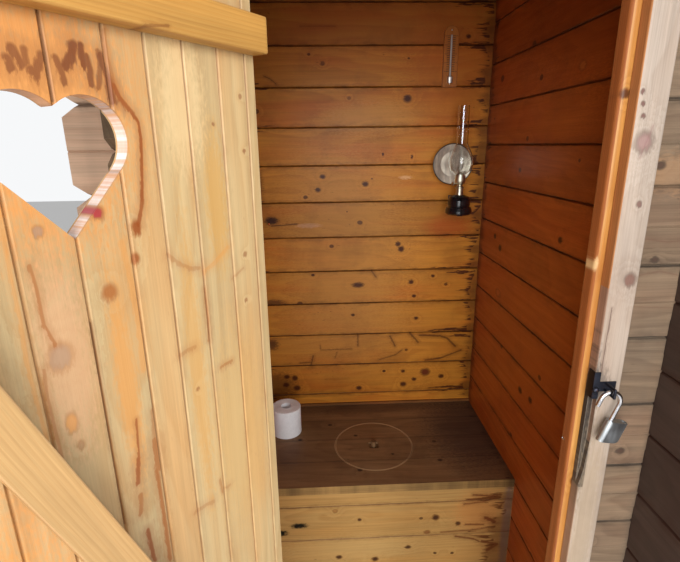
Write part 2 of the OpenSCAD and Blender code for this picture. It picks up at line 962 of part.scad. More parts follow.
module lamp_burner() {
    color("gold")
        translate([lamp_x, lamp_y, lamp_neck])
            rotate_extrude()
                polygon([[0, 0], [0.38 * burner_d, 0], [0.34 * burner_d, 0.12 * burner_h],
                         [0.34 * burner_d, 0.4 * burner_h], [0.25 * burner_d, 0.44 * burner_h],
                         [0.25 * burner_d, 0.5 * burner_h], [0.42 * burner_d, 0.56 * burner_h],
                         [0.5 * burner_d, 0.68 * burner_h], [0.5 * burner_d, 0.84 * burner_h],
                         [0.44 * burner_d, burner_h], [0, burner_h]]);
}

// Outline of the chimney's outer face: foot, globe, shoulder and tube
function chimney_outline(cut) = [
    [0.5 * burner_d - 2 - cut, 0], [0.4 * globe_d - cut, 0.15 * globe_d], [globe_d / 2 - cut, 0.45 * globe_d],
    [0.47 * globe_d - cut, 0.66 * globe_d], [0.36 * globe_d - cut, 0.92 * globe_d],
    [tube_d / 2 + 1 - cut, 1.2 * globe_d], [tube_d / 2 - cut, chimney_h]];

module lamp_chimney() {
    color("lightcyan")
        translate([lamp_x, lamp_y, lamp_neck + burner_h])
            rotate_extrude()
                polygon(concat(chimney_outline(0), flipped(chimney_outline(glass_t))));
}

module lamp_reflector() {
    color("silver")
        translate([lamp_x - reflector_side, reflector_y, reflector_z])
            rotate([90, 0, 0])
                rotate_extrude()
                    polygon([[0, 0], [reflector_d * 0.3, 3], [reflector_d / 2, 12], [reflector_d / 2, 13.2],
                             [reflector_d * 0.3, 4.2], [0, 1.2]]);
}

// Wall plate with a shelf for the lamp, and a block that holds the reflector off the wall
module lamp_bracket() {
    color("dimgray")
        union() {
            translate([lamp_x - lamp_d / 10, back_in - 3, lamp_foot - lamp_d / 6])
                cube([lamp_d / 5, 3, lamp_d / 6 + lamp_h - 12]);
            translate([lamp_x - lamp_d / 10, lamp_y - lamp_d / 4, lamp_foot - 4])
                cube([lamp_d / 5, lamp_back + lamp_d / 4, 4]);
            translate([lamp_x - reflector_side - lamp_d / 20, reflector_y, reflector_z - lamp_d / 20])
                cube([lamp_d / 10, reflector_back, lamp_d / 10]);
        }
}

module thermometer_board() {
    color("peru")
        difference() {
            translate([thermo_x, back_in, thermo_foot])
                rotate([90, 0, 0])
                    linear_extrude(height = thermo_t)
                        union() {
                            translate([-thermo_w / 2, 0])
                                square([thermo_w, thermo_h - thermo_w / 2]);
                            translate([0, thermo_h - thermo_w / 2])
                                circle(r = thermo_w / 2);
                        }
            thermometer_parts(0.3);
        }
}

// Bulb and tube, half let into the board
module thermometer_parts(play) {
    translate([thermo_x, back_in - thermo_t, thermo_foot + 22])
        union() {
            sphere(r = 7 + play);
            cylinder(r = 3 + play, h = thermo_h - 50);
        }
}

module thermometer_tube() {
    color("silver")
        thermometer_parts(0);
}

bearers();
floor_boards();
left_wall();
right_wall();
back_wall();
front_wall_left();
front_wall_right();
front_wall_over_door();
frame_post_left();
frame_post_right();
door_head();
threshold();
trim_left();
trim_right();
trim_head();
roof_boards();
roofing_felt();
front_fascia();
back_fascia();
barge_boards();
door_boards();
door_ledges();
door_brace();
door_hinge_leaves();
frame_hinge_leaves();
door_pull();
hasp_strap();
hasp_staple();
padlock_body();
padlock_shackle();
bench_top();
bench_front();
bench_cleats();
bench_lath();
bench_lid();
lid_knob();
paper_roll();
lamp_reservoir();
lamp_burner();
lamp_chimney();
lamp_reflector();
lamp_bracket();
thermometer_board();
thermometer_tube();
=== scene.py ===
"""Looks of the wooden outhouse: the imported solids, their finishes, and the small parts that go on them.

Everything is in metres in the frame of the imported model: X to the right seen from the front,
Y into the cabin, Z up from the ground.
"""

import json
import logging
import math
import random
from collections.abc import Iterable, Sequence
from dataclasses import dataclass, replace
from enum import Enum

import bmesh
import bpy
from mathutils import Matrix, Vector
from mathutils.bvhtree import BVHTree

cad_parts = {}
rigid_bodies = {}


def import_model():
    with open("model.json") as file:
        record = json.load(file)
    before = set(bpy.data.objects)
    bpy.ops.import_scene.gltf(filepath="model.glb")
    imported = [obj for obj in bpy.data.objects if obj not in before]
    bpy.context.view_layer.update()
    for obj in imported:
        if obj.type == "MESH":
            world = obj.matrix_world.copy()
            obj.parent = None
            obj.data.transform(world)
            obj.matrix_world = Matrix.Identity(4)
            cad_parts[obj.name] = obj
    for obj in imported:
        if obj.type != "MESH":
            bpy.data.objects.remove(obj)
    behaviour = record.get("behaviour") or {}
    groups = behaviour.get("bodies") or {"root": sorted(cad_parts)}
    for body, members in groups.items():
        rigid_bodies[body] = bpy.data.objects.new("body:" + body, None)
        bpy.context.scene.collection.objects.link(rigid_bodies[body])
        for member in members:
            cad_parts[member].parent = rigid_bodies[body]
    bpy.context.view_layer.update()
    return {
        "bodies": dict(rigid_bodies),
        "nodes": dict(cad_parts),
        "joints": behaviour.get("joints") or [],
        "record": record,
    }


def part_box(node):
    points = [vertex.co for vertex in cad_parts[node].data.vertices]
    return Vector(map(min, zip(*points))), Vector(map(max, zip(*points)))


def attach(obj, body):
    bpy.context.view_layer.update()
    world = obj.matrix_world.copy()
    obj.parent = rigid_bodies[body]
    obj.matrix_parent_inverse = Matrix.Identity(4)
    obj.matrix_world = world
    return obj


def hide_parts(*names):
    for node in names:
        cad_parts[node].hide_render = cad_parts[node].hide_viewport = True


log = logging.getLogger("outhouse")

Node = bpy.types.Node
Socket = bpy.types.NodeSocket
Material = bpy.types.Material
Thing = bpy.types.Object
Point = tuple[float, float, float]
Spot = tuple[float, float]
Colour = tuple[float, float, float]

# Places and sizes that the part's source gives, in metres, and how far the door stands open
FRONT_IN = -0.408
BACK_IN = 0.552
SIDE_IN = 0.429
WALL_T = 0.028
PLANK_H = 0.130
BEARER_H = 0.070
DOOR_PIN = (-0.2795, -0.4475)
DOOR_OPEN = math.radians(125.0)
DOOR_Y0 = -0.442
DOOR_Y1 = -0.418
BENCH_Z = 0.540
BENCH_Y = 0.065
BENCH_BOARD = 0.1218
FLOOR_BOARD = 0.096
LID_Y = 0.270
LID_R = 0.1355
HINGE_Z = (0.3625, 1.7095)
# Farther out than any face
FAR = 9.0
# Millimetres in a metre
MM = 1000.0
ORIGIN: Point = (0.0, 0.0, 0.0)
TO_FRONT: Point = (0.0, -1.0, 0.0)
TO_REAR: Point = (0.0, 1.0, 0.0)
TO_LEFT: Point = (-1.0, 0.0, 0.0)
TO_RIGHT: Point = (1.0, 0.0, 0.0)


def srgb(red: int, green: int, blue: int) -> Colour:
    """Turn a colour of 0-255 screen values into linear values."""

    def linear(value: int) -> float:
        """Turn one screen value into its linear value."""
        v = value / 255.0
        return v / 12.92 if v <= 0.04045 else ((v + 0.055) / 1.055) ** 2.4

    return (linear(red), linear(green), linear(blue))


def rgba(colour: Colour) -> tuple[float, float, float, float]:
    """Give a colour its full alpha."""
    return (colour[0], colour[1], colour[2], 1.0)


# The grey bloom and the rain streaks of wood that stands outdoors
BLOOM = srgb(150, 141, 128)
RAIN_STREAK = srgb(70, 58, 47)


class Blend(Enum):
    """Ways of mixing two colours."""

    MIX = "MIX"
    MULTIPLY = "MULTIPLY"


class Graph:
    """Places and links nodes in one node tree."""

    def __init__(self, tree: bpy.types.NodeTree) -> None:
        """Keep the tree that the nodes go into."""
        self.tree = tree

    def add(self, kind: str, **values: object) -> Node:
        """Add a node and set its properties.

        Args:
            kind: Blender's name of the node type.
            values: properties to set on the node.

        Returns:
            The new node.
        """
        node = self.tree.nodes.new(kind)
        for key, value in values.items():
            setattr(node, key, value)
        return node

    def put(self, target: Socket, value: object) -> None:
        """Link a socket to a target socket, or set the target's own value.

        Args:
            target: the input socket.
            value: an output socket, a number, or a tuple.
        """
        if isinstance(value, Socket):
            self.tree.links.new(value, target)
        else:
            target.default_value = value

    def fill(self, node: Node, **values: object) -> Node:
        """Link or set the inputs of a node by name, with _ for a space.

        Args:
            node: the node.
            values: its inputs.

        Returns:
            The node.
        """
        for key, value in values.items():
            self.put(node.inputs[key.replace("_", " ")], value)
        return node

    def math(self, kind: str, a: object, b: object = None, clamp: bool = False) -> Socket:
        """Add a Math node.

        Args:
            kind: the operation.
            a: first operand.
            b: second operand, if any.
            clamp: hold the result between 0 and 1.

        Returns:
            The result's socket.
        """
        node = self.add("ShaderNodeMath", operation=kind, use_clamp=clamp)
        for socket, value in zip(node.inputs, (a, b)):
            if value is not None:
                self.put(socket, value)
        return node.outputs[0]

    def times(self, first: object, *others: object) -> object:
        """Multiply several values."""
        for other in others:
            first = self.math("MULTIPLY", first, other)
        return first

    def plus(self, first: object, second: object) -> Socket:
        """Add two values."""
        return self.math("ADD", first, second)

    def minus(self, first: object, second: object) -> Socket:
        """Take the second value from the first."""
        return self.math("SUBTRACT", first, second)

    def vector(self, kind: str, a: object, b: object = None, scale: object = None) -> Socket:
        """Add a Vector Math node and return its vector or value.

        Args:
            kind: the operation.
            a: first operand.
            b: second operand, if any.
            scale: the factor of a SCALE operation.

        Returns:
            The vector socket, or the value socket where the operation gives a number.
        """
        node = self.add("ShaderNodeVectorMath", operation=kind)
        self.put(node.inputs[0], a)
        if b is not None:
            self.put(node.inputs[1], b)
        if scale is not None:
            self.put(node.inputs["Scale"], scale)
        number = kind in ("LENGTH", "DISTANCE", "DOT_PRODUCT")
        return node.outputs["Value" if number else "Vector"]

    def split(self, vector: object) -> tuple[Socket, ...]:
        """Split a vector into its X, Y and Z sockets."""
        node = self.add("ShaderNodeSeparateXYZ")
        self.put(node.inputs[0], vector)
        return node.outputs[0], node.outputs[1], node.outputs[2]

    def join(self, x: object, y: object, z: object) -> Socket:
        """Join three values into a vector socket."""
        node = self.add("ShaderNodeCombineXYZ")
        for socket, value in zip(node.inputs, (x, y, z)):
            self.put(socket, value)
        return node.outputs[0]

    def grey(self, value: object) -> Socket:
        """Make a grey of a value."""
        node = self.add("ShaderNodeCombineColor")
        for socket in node.inputs:
            self.put(socket, value)
        return node.outputs[0]

    def mix(self, factor: object, a: object, b: object, how: Blend = Blend.MIX) -> Socket:
        """Mix two colours.

        Args:
            factor: share of the second colour.
            a: first colour, a socket or linear red, green and blue.
            b: second colour.
            how: the way of mixing.

        Returns:
            The colour socket.
        """
        node = self.add("ShaderNodeMix", data_type="RGBA", blend_type=how.value)
        self.put(node.inputs[0], factor)
        self.put(node.inputs[6], rgba(a) if isinstance(a, tuple) else a)
        self.put(node.inputs[7], rgba(b) if isinstance(b, tuple) else b)
        return node.outputs[2]

    def ramp(self, value: object, low: float, high: float, to: Spot = (0.0, 1.0),
             smooth: bool = False) -> Socket:
        """Map a value from one range to another and hold it there.

        Args:
            value: the value to map.
            low: start of the range.
            high: end of the range.
            to: the results at the start and at the end.
            smooth: ease in and out.

        Returns:
            The result's socket.
        """
        easing = "SMOOTHSTEP" if smooth else "LINEAR"
        node = self.add("ShaderNodeMapRange", clamp=True, interpolation_type=easing)
        self.put(node.inputs[0], value)
        for index, bound in enumerate((low, high, *to), start=1):
            self.put(node.inputs[index], bound)
        return node.outputs[0]

    def noise(self, vector: object, scale: object, detail: float = 2.0, rough: float = 0.5) -> Socket:
        """Add a Noise texture and return its value.

        Args:
            vector: where to read it.
            scale: how many features there are in a metre.
            detail: number of octaves.
            rough: strength of the finer octaves.

        Returns:
            The value socket, about 0.5 on average.
        """
        node = self.add("ShaderNodeTexNoise")
        return self.fill(node, Vector=vector, Scale=scale, Detail=detail, Roughness=rough).outputs[0]

    def use(self, group: bpy.types.NodeTree, **values: object) -> Node:
        """Place a node group and fill its inputs."""
        return self.fill(self.add("ShaderNodeGroup", node_tree=group), **values)

    def bumped(self, shader: Node, height: object, strength: float, depth: float,
               normal: object = None) -> None:
        """Give a shader a bump.

        Args:
            shader: the shader node.
            height: the height socket.
            strength: how strong the bump is.
            depth: the height that a value of 1 stands for, in metres.
            normal: the normal that the bump starts from, if not the surface's own.
        """
        bump = self.fill(self.add("ShaderNodeBump"), Strength=strength, Distance=depth, Height=height)
        if normal is not None:
            self.put(bump.inputs["Normal"], normal)
        self.put(shader.inputs["Normal"], bump.outputs["Normal"])


def new_skin(name: str) -> tuple[Material, Graph, Node]:
    """Start a material with a Principled shader and its output.

    Args:
        name: the material's name.

    Returns:
        The material, its graph and its shader node.
    """
    skin = bpy.data.materials.new(name)
    skin.use_nodes = True
    skin.node_tree.nodes.clear()
    g = Graph(skin.node_tree)
    shader = g.add("ShaderNodeBsdfPrincipled")
    g.put(g.add("ShaderNodeOutputMaterial").inputs["Surface"], shader.outputs[0])
    return skin, g, shader


class Group(Enum):
    """The shared shader effects, each one node group."""

    FIGURE = "wood_figure"
    KNOT = "single_knot"
    STROKE = "single_stroke"
    PATCH = "soft_patch"
    FINGERS = "stain_fingers"
    SPECKS = "dark_specks"
    JOINT = "board_joint"
    EDGE = "worn_edges"
    WEATHER = "weathering"
    RUST = "rust_specks"


class Effects:
    """Builds each shared node group once and hands it out."""

    def __init__(self) -> None:
        """Build all the groups."""
        self.trees: dict[Group, bpy.types.NodeTree] = {}
        for build in (self._figure, self._knot, self._stroke, self._patch, self._fingers, self._specks,
                      self._joint, self._edge, self._weather, self._rust):
            build()

    def _new(self, which: Group, ins: dict[str, object],
             outs: Sequence[str]) -> tuple[Graph, dict[str, Socket], Node]:
        """Start a group with named sockets.

        Args:
            which: the effect.
            ins: input names with a number or a vector as their default.
            outs: names of the outputs, all numbers apart from one named Normal.

        Returns:
            The graph, its inputs by name, and its output node.
        """
        tree = bpy.data.node_groups.new(which.value, "ShaderNodeTree")
        for name, default in ins.items():
            kind = "NodeSocketVector" if isinstance(default, tuple) else "NodeSocketFloat"
            socket = tree.interface.new_socket(name=name, in_out="INPUT", socket_type=kind)
            socket.default_value = default
        for name in outs:
            kind = "NodeSocketVector" if name == "Normal" else "NodeSocketFloat"
            tree.interface.new_socket(name=name, in_out="OUTPUT", socket_type=kind)
        self.trees[which] = tree
        g = Graph(tree)
        entry = g.add("NodeGroupInput")
        return g, {name: entry.outputs[name] for name in ins}, g.add("NodeGroupOutput")

    def _figure(self) -> None:
        """Growth rings, knots with grain flowing round them, fibres and clouds of tone, board by board."""
        g, i, o = self._new(
            Group.FIGURE,
            {"Grain": ORIGIN, "Board": 0.0, "Ring Gap": 0.006, "Knot Share": 0.5, "Knot Size": 0.011,
             "Pull": 0.0},
            ("Rings", "Fibre", "Knot", "Rim", "Cloud"),
        )
        along, across, depth = g.split(i["Grain"])
        shift_u = g.times(i["Board"], 37.7)
        shift_v = g.times(i["Board"], 11.3)
        u = g.plus(along, shift_u)
        v = g.plus(across, shift_v)
        # the board's place in the tree: its distance and depth from the heart drift slowly along its length
        drift = g.noise(g.join(g.times(u, 0.9), shift_v, 0.0), 1.0, 1.0)
        heart = g.times(g.minus(g.noise(g.join(shift_u, shift_v, 3.0), 3.1, 0.0), 0.5), 0.30)
        side = g.minus(across, heart)
        deep = g.plus(g.times(drift, 0.07), g.times(depth, 0.8))
        wander = g.noise(g.join(g.times(u, 2.6), g.times(v, 14.0), depth), 1.0, 2.0)
        radius = g.math("SQRT", g.plus(g.times(side, side), g.times(deep, deep)))
        radius = g.plus(radius, g.times(wander, 0.014))
        # knots in some of the cells, each a little stretched along the grain
        length, width = 0.30, 0.115
        cell_u, cell_v = g.math("DIVIDE", u, length), g.math("DIVIDE", v, width)
        spot = g.fill(g.add("ShaderNodeTexVoronoi", voronoi_dimensions="2D", feature="F1"), Scale=1.0,
                      Randomness=0.85, Vector=g.join(cell_u, cell_v, 0.0))
        px, py, _ = g.split(spot.outputs["Position"])
        du = g.times(g.minus(cell_u, px), length / 1.25)
        dv = g.times(g.minus(cell_v, py), width)
        dice = g.add("ShaderNodeSeparateColor")
        g.put(dice.inputs[0], spot.outputs["Color"])
        red, green = dice.outputs[0], dice.outputs[1]
        there = g.math("LESS_THAN", red, i["Knot Share"])
        size = g.times(i["Knot Size"], g.plus(green, 0.35))
        ragged = g.noise(g.join(g.times(u, 60.0), g.times(v, 60.0), 0.0), 1.0, 2.0)
        far = g.math("SQRT", g.plus(g.times(du, du), g.times(dv, dv)))
        ratio = g.math("DIVIDE", far, g.times(size, g.plus(g.times(ragged, 0.5), 0.75)))
        knot = g.times(there, g.ramp(ratio, 1.05, 0.75, smooth=True))
        rim = g.times(there, g.ramp(ratio, 0.6, 0.95), g.ramp(ratio, 1.35, 1.0))
        bump = g.times(there, g.math("EXPONENT", g.times(ratio, ratio, -0.16)))
        pull = g.plus(g.times(bump, size, 1.6), i["Pull"])
        ring = g.math("FRACT", g.math("DIVIDE", g.plus(radius, pull), i["Ring Gap"]))
        late = g.math("POWER", g.times(g.ramp(ring, 0.0, 0.8), g.ramp(ring, 1.0, 0.82, smooth=True)), 1.5)
        fine = g.join(g.times(u, 9.0), g.times(v, 520.0), g.times(depth, 520.0))
        fibre = g.noise(fine, 1.0, 3.0, 0.65)
        broad = g.noise(g.join(g.times(u, 3.0), g.times(v, 85.0), g.times(depth, 60.0)), 1.0, 2.0)
        streak = g.plus(g.times(fibre, 0.5), g.times(broad, 0.5))
        cloud = g.noise(g.join(g.times(u, 2.4), g.times(v, 13.0), depth), 1.0, 3.0)
        g.fill(o, Rings=late, Fibre=streak, Knot=knot, Rim=rim, Cloud=cloud)

    def _knot(self) -> None:
        """One knot at a given place: its core, its dark rim, and how far it pulls the rings aside."""
        g, i, o = self._new(
            Group.KNOT,
            {"Flat": ORIGIN, "At": ORIGIN, "Radius": 0.01, "Stretch": (1.3, 1.0, 1.0), "Uneven": 0.5},
            ("Core", "Rim", "Pull"),
        )
        away = g.vector("DIVIDE", g.vector("SUBTRACT", i["Flat"], i["At"]), i["Stretch"])
        size = g.times(i["Radius"], g.plus(g.times(i["Uneven"], 0.9), 0.55))
        ratio = g.math("DIVIDE", g.vector("LENGTH", away), size)
        g.fill(o, Core=g.ramp(ratio, 1.15, 0.6, smooth=True))
        rim = g.times(g.ramp(ratio, 0.4, 0.95, smooth=True), g.ramp(ratio, 1.55, 0.95, smooth=True))
        g.fill(o, Rim=rim)
        bump = g.math("EXPONENT", g.times(ratio, ratio, -0.14))
        g.fill(o, Pull=g.times(bump, i["Radius"], 1.7))

    def _stroke(self) -> None:
        """A soft uneven line between two places, such as a crack, a run of resin or a stain's edge."""
        g, i, o = self._new(
            Group.STROKE,
            {"Flat": ORIGIN, "From": ORIGIN, "To": ORIGIN, "Width": 0.002, "Uneven": 0.5},
            ("Mark",),
        )
        away = g.vector("SUBTRACT", i["Flat"], i["From"])
        span = g.vector("SUBTRACT", i["To"], i["From"])
        share = g.math("DIVIDE", g.vector("DOT_PRODUCT", away, span), g.vector("DOT_PRODUCT", span, span))
        share = g.math("MAXIMUM", g.math("MINIMUM", share, 1.0), 0.0)
        rest = g.vector("SUBTRACT", away, g.vector("SCALE", span, scale=share))
        width = g.times(i["Width"], g.plus(g.times(i["Uneven"], 2.2), -0.1))
        ratio = g.math("DIVIDE", g.vector("LENGTH", rest), width)
        halo = g.ramp(ratio, 3.2, 0.6, (0.0, 0.35), smooth=True)
        g.fill(o, Mark=g.math("MAXIMUM", g.ramp(ratio, 1.1, 0.3, smooth=True), halo))

    def _patch(self) -> None:
        """A soft cloud of tone round a place."""
        g, i, o = self._new(
            Group.PATCH,
            {"Flat": ORIGIN, "At": ORIGIN, "Reach": (0.1, 0.1, 1.0), "Uneven": 0.5},
            ("Mask",),
        )
        away = g.vector("DIVIDE", g.vector("SUBTRACT", i["Flat"], i["At"]), i["Reach"])
        far = g.plus(g.vector("LENGTH", away), g.times(g.minus(i["Uneven"], 0.5), 1.3))
        g.fill(o, Mask=g.ramp(far, 1.1, 0.35, smooth=True))

    def _fingers(self) -> None:
        """Dark stain near the boards' ends: a ragged line with fingers that creep away along the grain."""
        g, i, o = self._new(
            Group.FINGERS,
            {"Grain": ORIGIN, "From End": 0.0, "Reach": 0.05, "Start": 0.02, "Board": 0.0, "Gap": 1.0},
            ("Stain", "Damp"),
        )
        along, across, _ = g.split(i["Grain"])
        shift = g.times(i["Board"], 23.0)
        v = g.plus(across, shift)
        slow = g.noise(g.join(g.times(v, 22.0), shift, 1.7), 1.0, 2.0)
        fine = g.noise(g.join(g.times(along, 9.0), g.times(v, 95.0), shift), 1.0, 3.0, 0.6)
        broken = g.noise(g.join(g.times(along, 30.0), g.times(v, 120.0), shift), 1.0, 3.0, 0.6)
        near = g.ramp(i["Gap"], 0.028, 0.004, (0.35, 1.5))
        start = g.times(i["Start"], g.ramp(slow, 0.32, 0.68, (0.1, 1.6)))
        reach = g.times(i["Reach"], near, g.ramp(fine, 0.46, 0.72, (0.02, 1.4)))
        past = g.minus(i["From End"], start)
        body = g.times(g.ramp(past, -0.002, 0.003), g.ramp(g.minus(reach, past), 0.0, 0.012))
        g.fill(o, Stain=g.times(body, g.ramp(broken, 0.30, 0.46)))
        damp = g.ramp(past, 0.030, -0.012, smooth=True)
        g.fill(o, Damp=g.times(damp, g.ramp(slow, 0.3, 0.6, (0.5, 1.0))))

    def _specks(self) -> None:
        """Small dark specks and short dashes in the wood."""
        g, i, o = self._new(Group.SPECKS, {"Grain": ORIGIN, "Board": 0.0}, ("Speck",))
        along, across, depth = g.split(i["Grain"])
        shift = g.times(i["Board"], 17.0)
        where = (g.times(g.plus(along, shift), 52.0), g.times(g.plus(across, shift), 190.0), depth)
        fine = g.noise(g.join(*where), 1.0, 2.0, 0.6)
        zone = g.noise(g.join(g.times(along, 5.0), g.times(across, 18.0), shift), 1.0, 1.0)
        g.fill(o, Speck=g.times(g.ramp(fine, 0.67, 0.76), g.ramp(zone, 0.46, 0.62)))

    def _joint(self) -> None:
        """The dark line of a joint between two boards, uneven along its length, with stain beside it."""
        g, i, o = self._new(
            Group.JOINT, {"Gap": 1.0, "Grain": ORIGIN, "Board": 0.0, "Width": 0.004}, ("Line", "Halo"))
        along, across, _ = g.split(i["Grain"])
        shift = g.times(i["Board"], 9.0)
        ragged = g.noise(g.join(g.times(along, 38.0), g.times(across, 38.0), shift), 1.0, 2.0)
        ratio = g.math("DIVIDE", i["Gap"], g.times(i["Width"], g.plus(g.times(ragged, 1.6), 0.3)))
        slow = g.noise(g.join(g.times(along, 7.0), shift, 0.4), 1.0, 2.0)
        tufts = g.noise(g.join(g.times(along, 24.0), g.times(across, 60.0), shift), 1.0, 3.0, 0.6)
        line = g.ramp(ratio, 1.1, 0.3, smooth=True)
        g.fill(o, Line=g.times(line, g.ramp(slow, 0.34, 0.60, (0.5, 1.0))))
        halo = g.ramp(ratio, 5.5, 0.8)
        g.fill(o, Halo=g.times(halo, g.ramp(tufts, 0.42, 0.64, (0.15, 1.0))))

    def _edge(self) -> None:
        """Rounded-off edges, and a mask of the edges, where the finishes paint wear and also painted
        highlights and painted shadows.
        """
        g, i, o = self._new(Group.EDGE, {"Radius": 0.002}, ("Wear", "Normal"))
        bevel = g.fill(g.add("ShaderNodeBevel", samples=3), Radius=i["Radius"])
        own = g.add("ShaderNodeNewGeometry").outputs["Normal"]
        alike = g.vector("DOT_PRODUCT", bevel.outputs[0], own)
        g.fill(o, Wear=g.ramp(alike, 0.985, 0.86))
        g.fill(o, Normal=bevel.outputs[0])

    def _weather(self) -> None:
        """Grey bloom and rain streaks on wood that stands outdoors."""
        g, i, o = self._new(Group.WEATHER, {"Place": ORIGIN, "Amount": 0.5}, ("Grey", "Streak"))
        x, y, z = g.split(i["Place"])
        cloud = g.noise(i["Place"], 3.2, 3.0, 0.6)
        streak = g.noise(g.join(g.times(x, 26.0), g.times(y, 26.0), g.times(z, 1.6)), 1.0, 3.0)
        low = g.ramp(z, 0.7, 0.05, (0.0, 0.35))
        grey = g.plus(g.times(cloud, 0.7), g.plus(low, g.times(streak, 0.4)))
        g.fill(o, Grey=g.math("MULTIPLY", g.ramp(grey, 0.35, 0.85), i["Amount"], clamp=True))
        g.fill(o, Streak=g.ramp(streak, 0.52, 0.72))

    def _rust(self) -> None:
        """Rust specks and dull patches on old metal."""
        g, i, o = self._new(
            Group.RUST, {"Place": ORIGIN, "Amount": 0.4, "Fineness": 160.0}, ("Rust", "Dull"))
        speck = g.noise(i["Place"], i["Fineness"], 4.0, 0.62)
        patch = g.noise(i["Place"], g.times(i["Fineness"], 0.22), 3.0)
        edge = g.minus(0.78, g.times(i["Amount"], 0.45))
        both = g.plus(g.times(speck, 0.6), g.times(patch, 0.4))
        g.fill(o, Rust=g.ramp(g.minus(both, edge), 0.0, 0.08, smooth=True))
        g.fill(o, Dull=patch)


class Run(Enum):
    """Which way the grain runs: the axes along it, across it, and into the piece."""

    WALL_ACROSS = (0, 2, 1)
    WALL_DEEP = (1, 2, 0)
    UPRIGHT = (2, 0, 1)
    FLAT_ACROSS = (0, 1, 2)
    FLAT_DEEP = (1, 0, 2)


@dataclass(frozen=True)
class Layout:
    """How the boards lie in a piece: the run of the grain, and where the joints between them are."""

    run: Run
    pitch: float = 0.0
    start: float = 0.0
    joints: tuple[float, ...] = ()
    on_door: bool = False
    lean: float = 0.0
    salt: float = 0.0

    def turned(self, g: Graph, what: str) -> Socket:
        """Give the place or the normal on the piece, with the door swung shut where it is part of the door.

        Args:
            g: the graph of the material.
            what: Object for the place, Normal for the normal.

        Returns:
            The vector socket.
        """
        spot = g.add("ShaderNodeTexCoord").outputs[what]
        if self.on_door:
            turn = g.add("ShaderNodeVectorRotate", rotation_type="Z_AXIS")
            pin = (*DOOR_PIN, 0.0) if what == "Object" else ORIGIN
            spot = g.fill(turn, Vector=spot, Center=pin, Angle=DOOR_OPEN).outputs[0]
        if self.lean:
            turn = g.add("ShaderNodeVectorRotate", rotation_type="Y_AXIS")
            spot = g.fill(turn, Vector=spot, Angle=-self.lean).outputs[0]
        return spot

    def flat(self, g: Graph, place: Socket) -> Socket:
        """Give the place along and across the grain, for marks that have a place of their own."""
        axes = g.split(place)
        return g.join(axes[self.run.value[0]], axes[self.run.value[1]], 0.0)

    def boards(self, g: Graph, place: Socket) -> tuple[Socket, object, object]:
        """Give the grain's coordinates, a number for each board, and the distance to the nearest joint.

        Args:
            g: the graph of the material.
            place: the place on the piece.

        Returns:
            The grain vector, a random number from 0 to 1 for the board, and the distance in metres.
        """
        axes = g.split(place)
        along, across, depth = (axes[k] for k in self.run.value)
        if self.pitch:
            count = g.math("FLOOR", g.math("DIVIDE", g.minus(across, self.start), self.pitch))
            centre = g.plus(g.times(g.plus(count, 0.5), self.pitch), self.start)
            local = g.minus(across, centre)
            gap = g.minus(self.pitch / 2, g.math("ABSOLUTE", local))
        elif self.joints:
            count, gap, local = self._uneven(g, across)
        else:
            count, local, gap = 0.0, g.minus(across, self.start), 1.0
        dice = g.add("ShaderNodeTexWhiteNoise", noise_dimensions="1D")
        g.put(dice.inputs["W"], g.plus(g.times(count, 3.17), self.salt + 0.5))
        return g.join(along, local, depth), dice.outputs["Value"], gap

    def _uneven(self, g: Graph, across: Socket) -> tuple[object, object, object]:
        """Count the joints passed, and find the nearest, where the boards differ in width."""
        count: object = 0.0
        gap: object = 1.0
        local = g.minus(across, self.joints[0] - 0.03)
        for index, joint in enumerate(self.joints):
            past = g.math("GREATER_THAN", across, joint)
            count = g.plus(past, count)
            gap = g.math("MINIMUM", g.math("ABSOLUTE", g.minus(across, joint)), gap)
            before = self.joints[index - 1] if index else joint - 0.06
            step = self.joints[index + 1] if index + 1 < len(self.joints) else joint + 0.03
            local = g.minus(local, g.times(past, (step - before) / 2))
        return count, gap, local


@dataclass(frozen=True)
class Knot:
    """A knot at a place along and across the grain in the piece's own frame."""

    along: float
    across: float
    radius: float = 0.010
    stretch: float = 1.25
    dark: float = 0.92
    tone: Colour | None = None


@dataclass(frozen=True)
class Stroke:
    """A soft line through two or more places, each along and across the grain."""

    points: tuple[Spot, ...]
    width: float = 0.002
    dark: float = 0.7
    tone: Colour | None = None


@dataclass(frozen=True)
class Patch:
    """A soft cloud of another tone."""

    at: Spot
    reach: Spot
    tone: Colour
    share: float = 0.5


@dataclass(frozen=True)
class EndStain:
    """A ragged dark stain near one end of the boards."""

    at: float
    way: float
    reach: float = 0.045
    start: float = 0.02
    share: float = 0.85


@dataclass(frozen=True)
class Zone:
    """Faces of the piece that have tones of their own: those in a box, if given those that look one way.

    With sideways set, it is the faces at right angles to that way. With bare set, the piece's own marks
    don't show there.
    """

    pale: Colour
    deep: Colour
    low: Point = (-FAR, -FAR, -FAR)
    high: Point = (FAR, FAR, FAR)
    facing: Point | None = None
    sideways: bool = False
    bare: bool = False

    def mask(self, g: Graph, place: object, normal: object) -> object:
        """Give 1 on the zone's faces and 0 elsewhere.

        Args:
            g: the graph of the material.
            place: the place on the piece.
            normal: the normal there.

        Returns:
            The mask.
        """
        inside: object = 1.0
        for axis, low, high in zip(g.split(place), self.low, self.high):
            if low > -FAR:
                inside = g.times(g.math("GREATER_THAN", axis, low), inside)
            if high < FAR:
                inside = g.times(g.math("LESS_THAN", axis, high), inside)
        if self.facing:
            looks = g.vector("DOT_PRODUCT", normal, self.facing)
            if self.sideways:
                looks = g.math("LESS_THAN", g.math("ABSOLUTE", looks), 0.4)
            else:
                looks = g.math("GREATER_THAN", looks, 0.55)
            inside = g.times(looks, inside)
        return inside


@dataclass(frozen=True)
class Ring:
    """A ring of another tone on a level face, round an upright axis."""

    axis: Spot
    inner: float
    outer: float
    tone: Colour
    share: float = 0.8


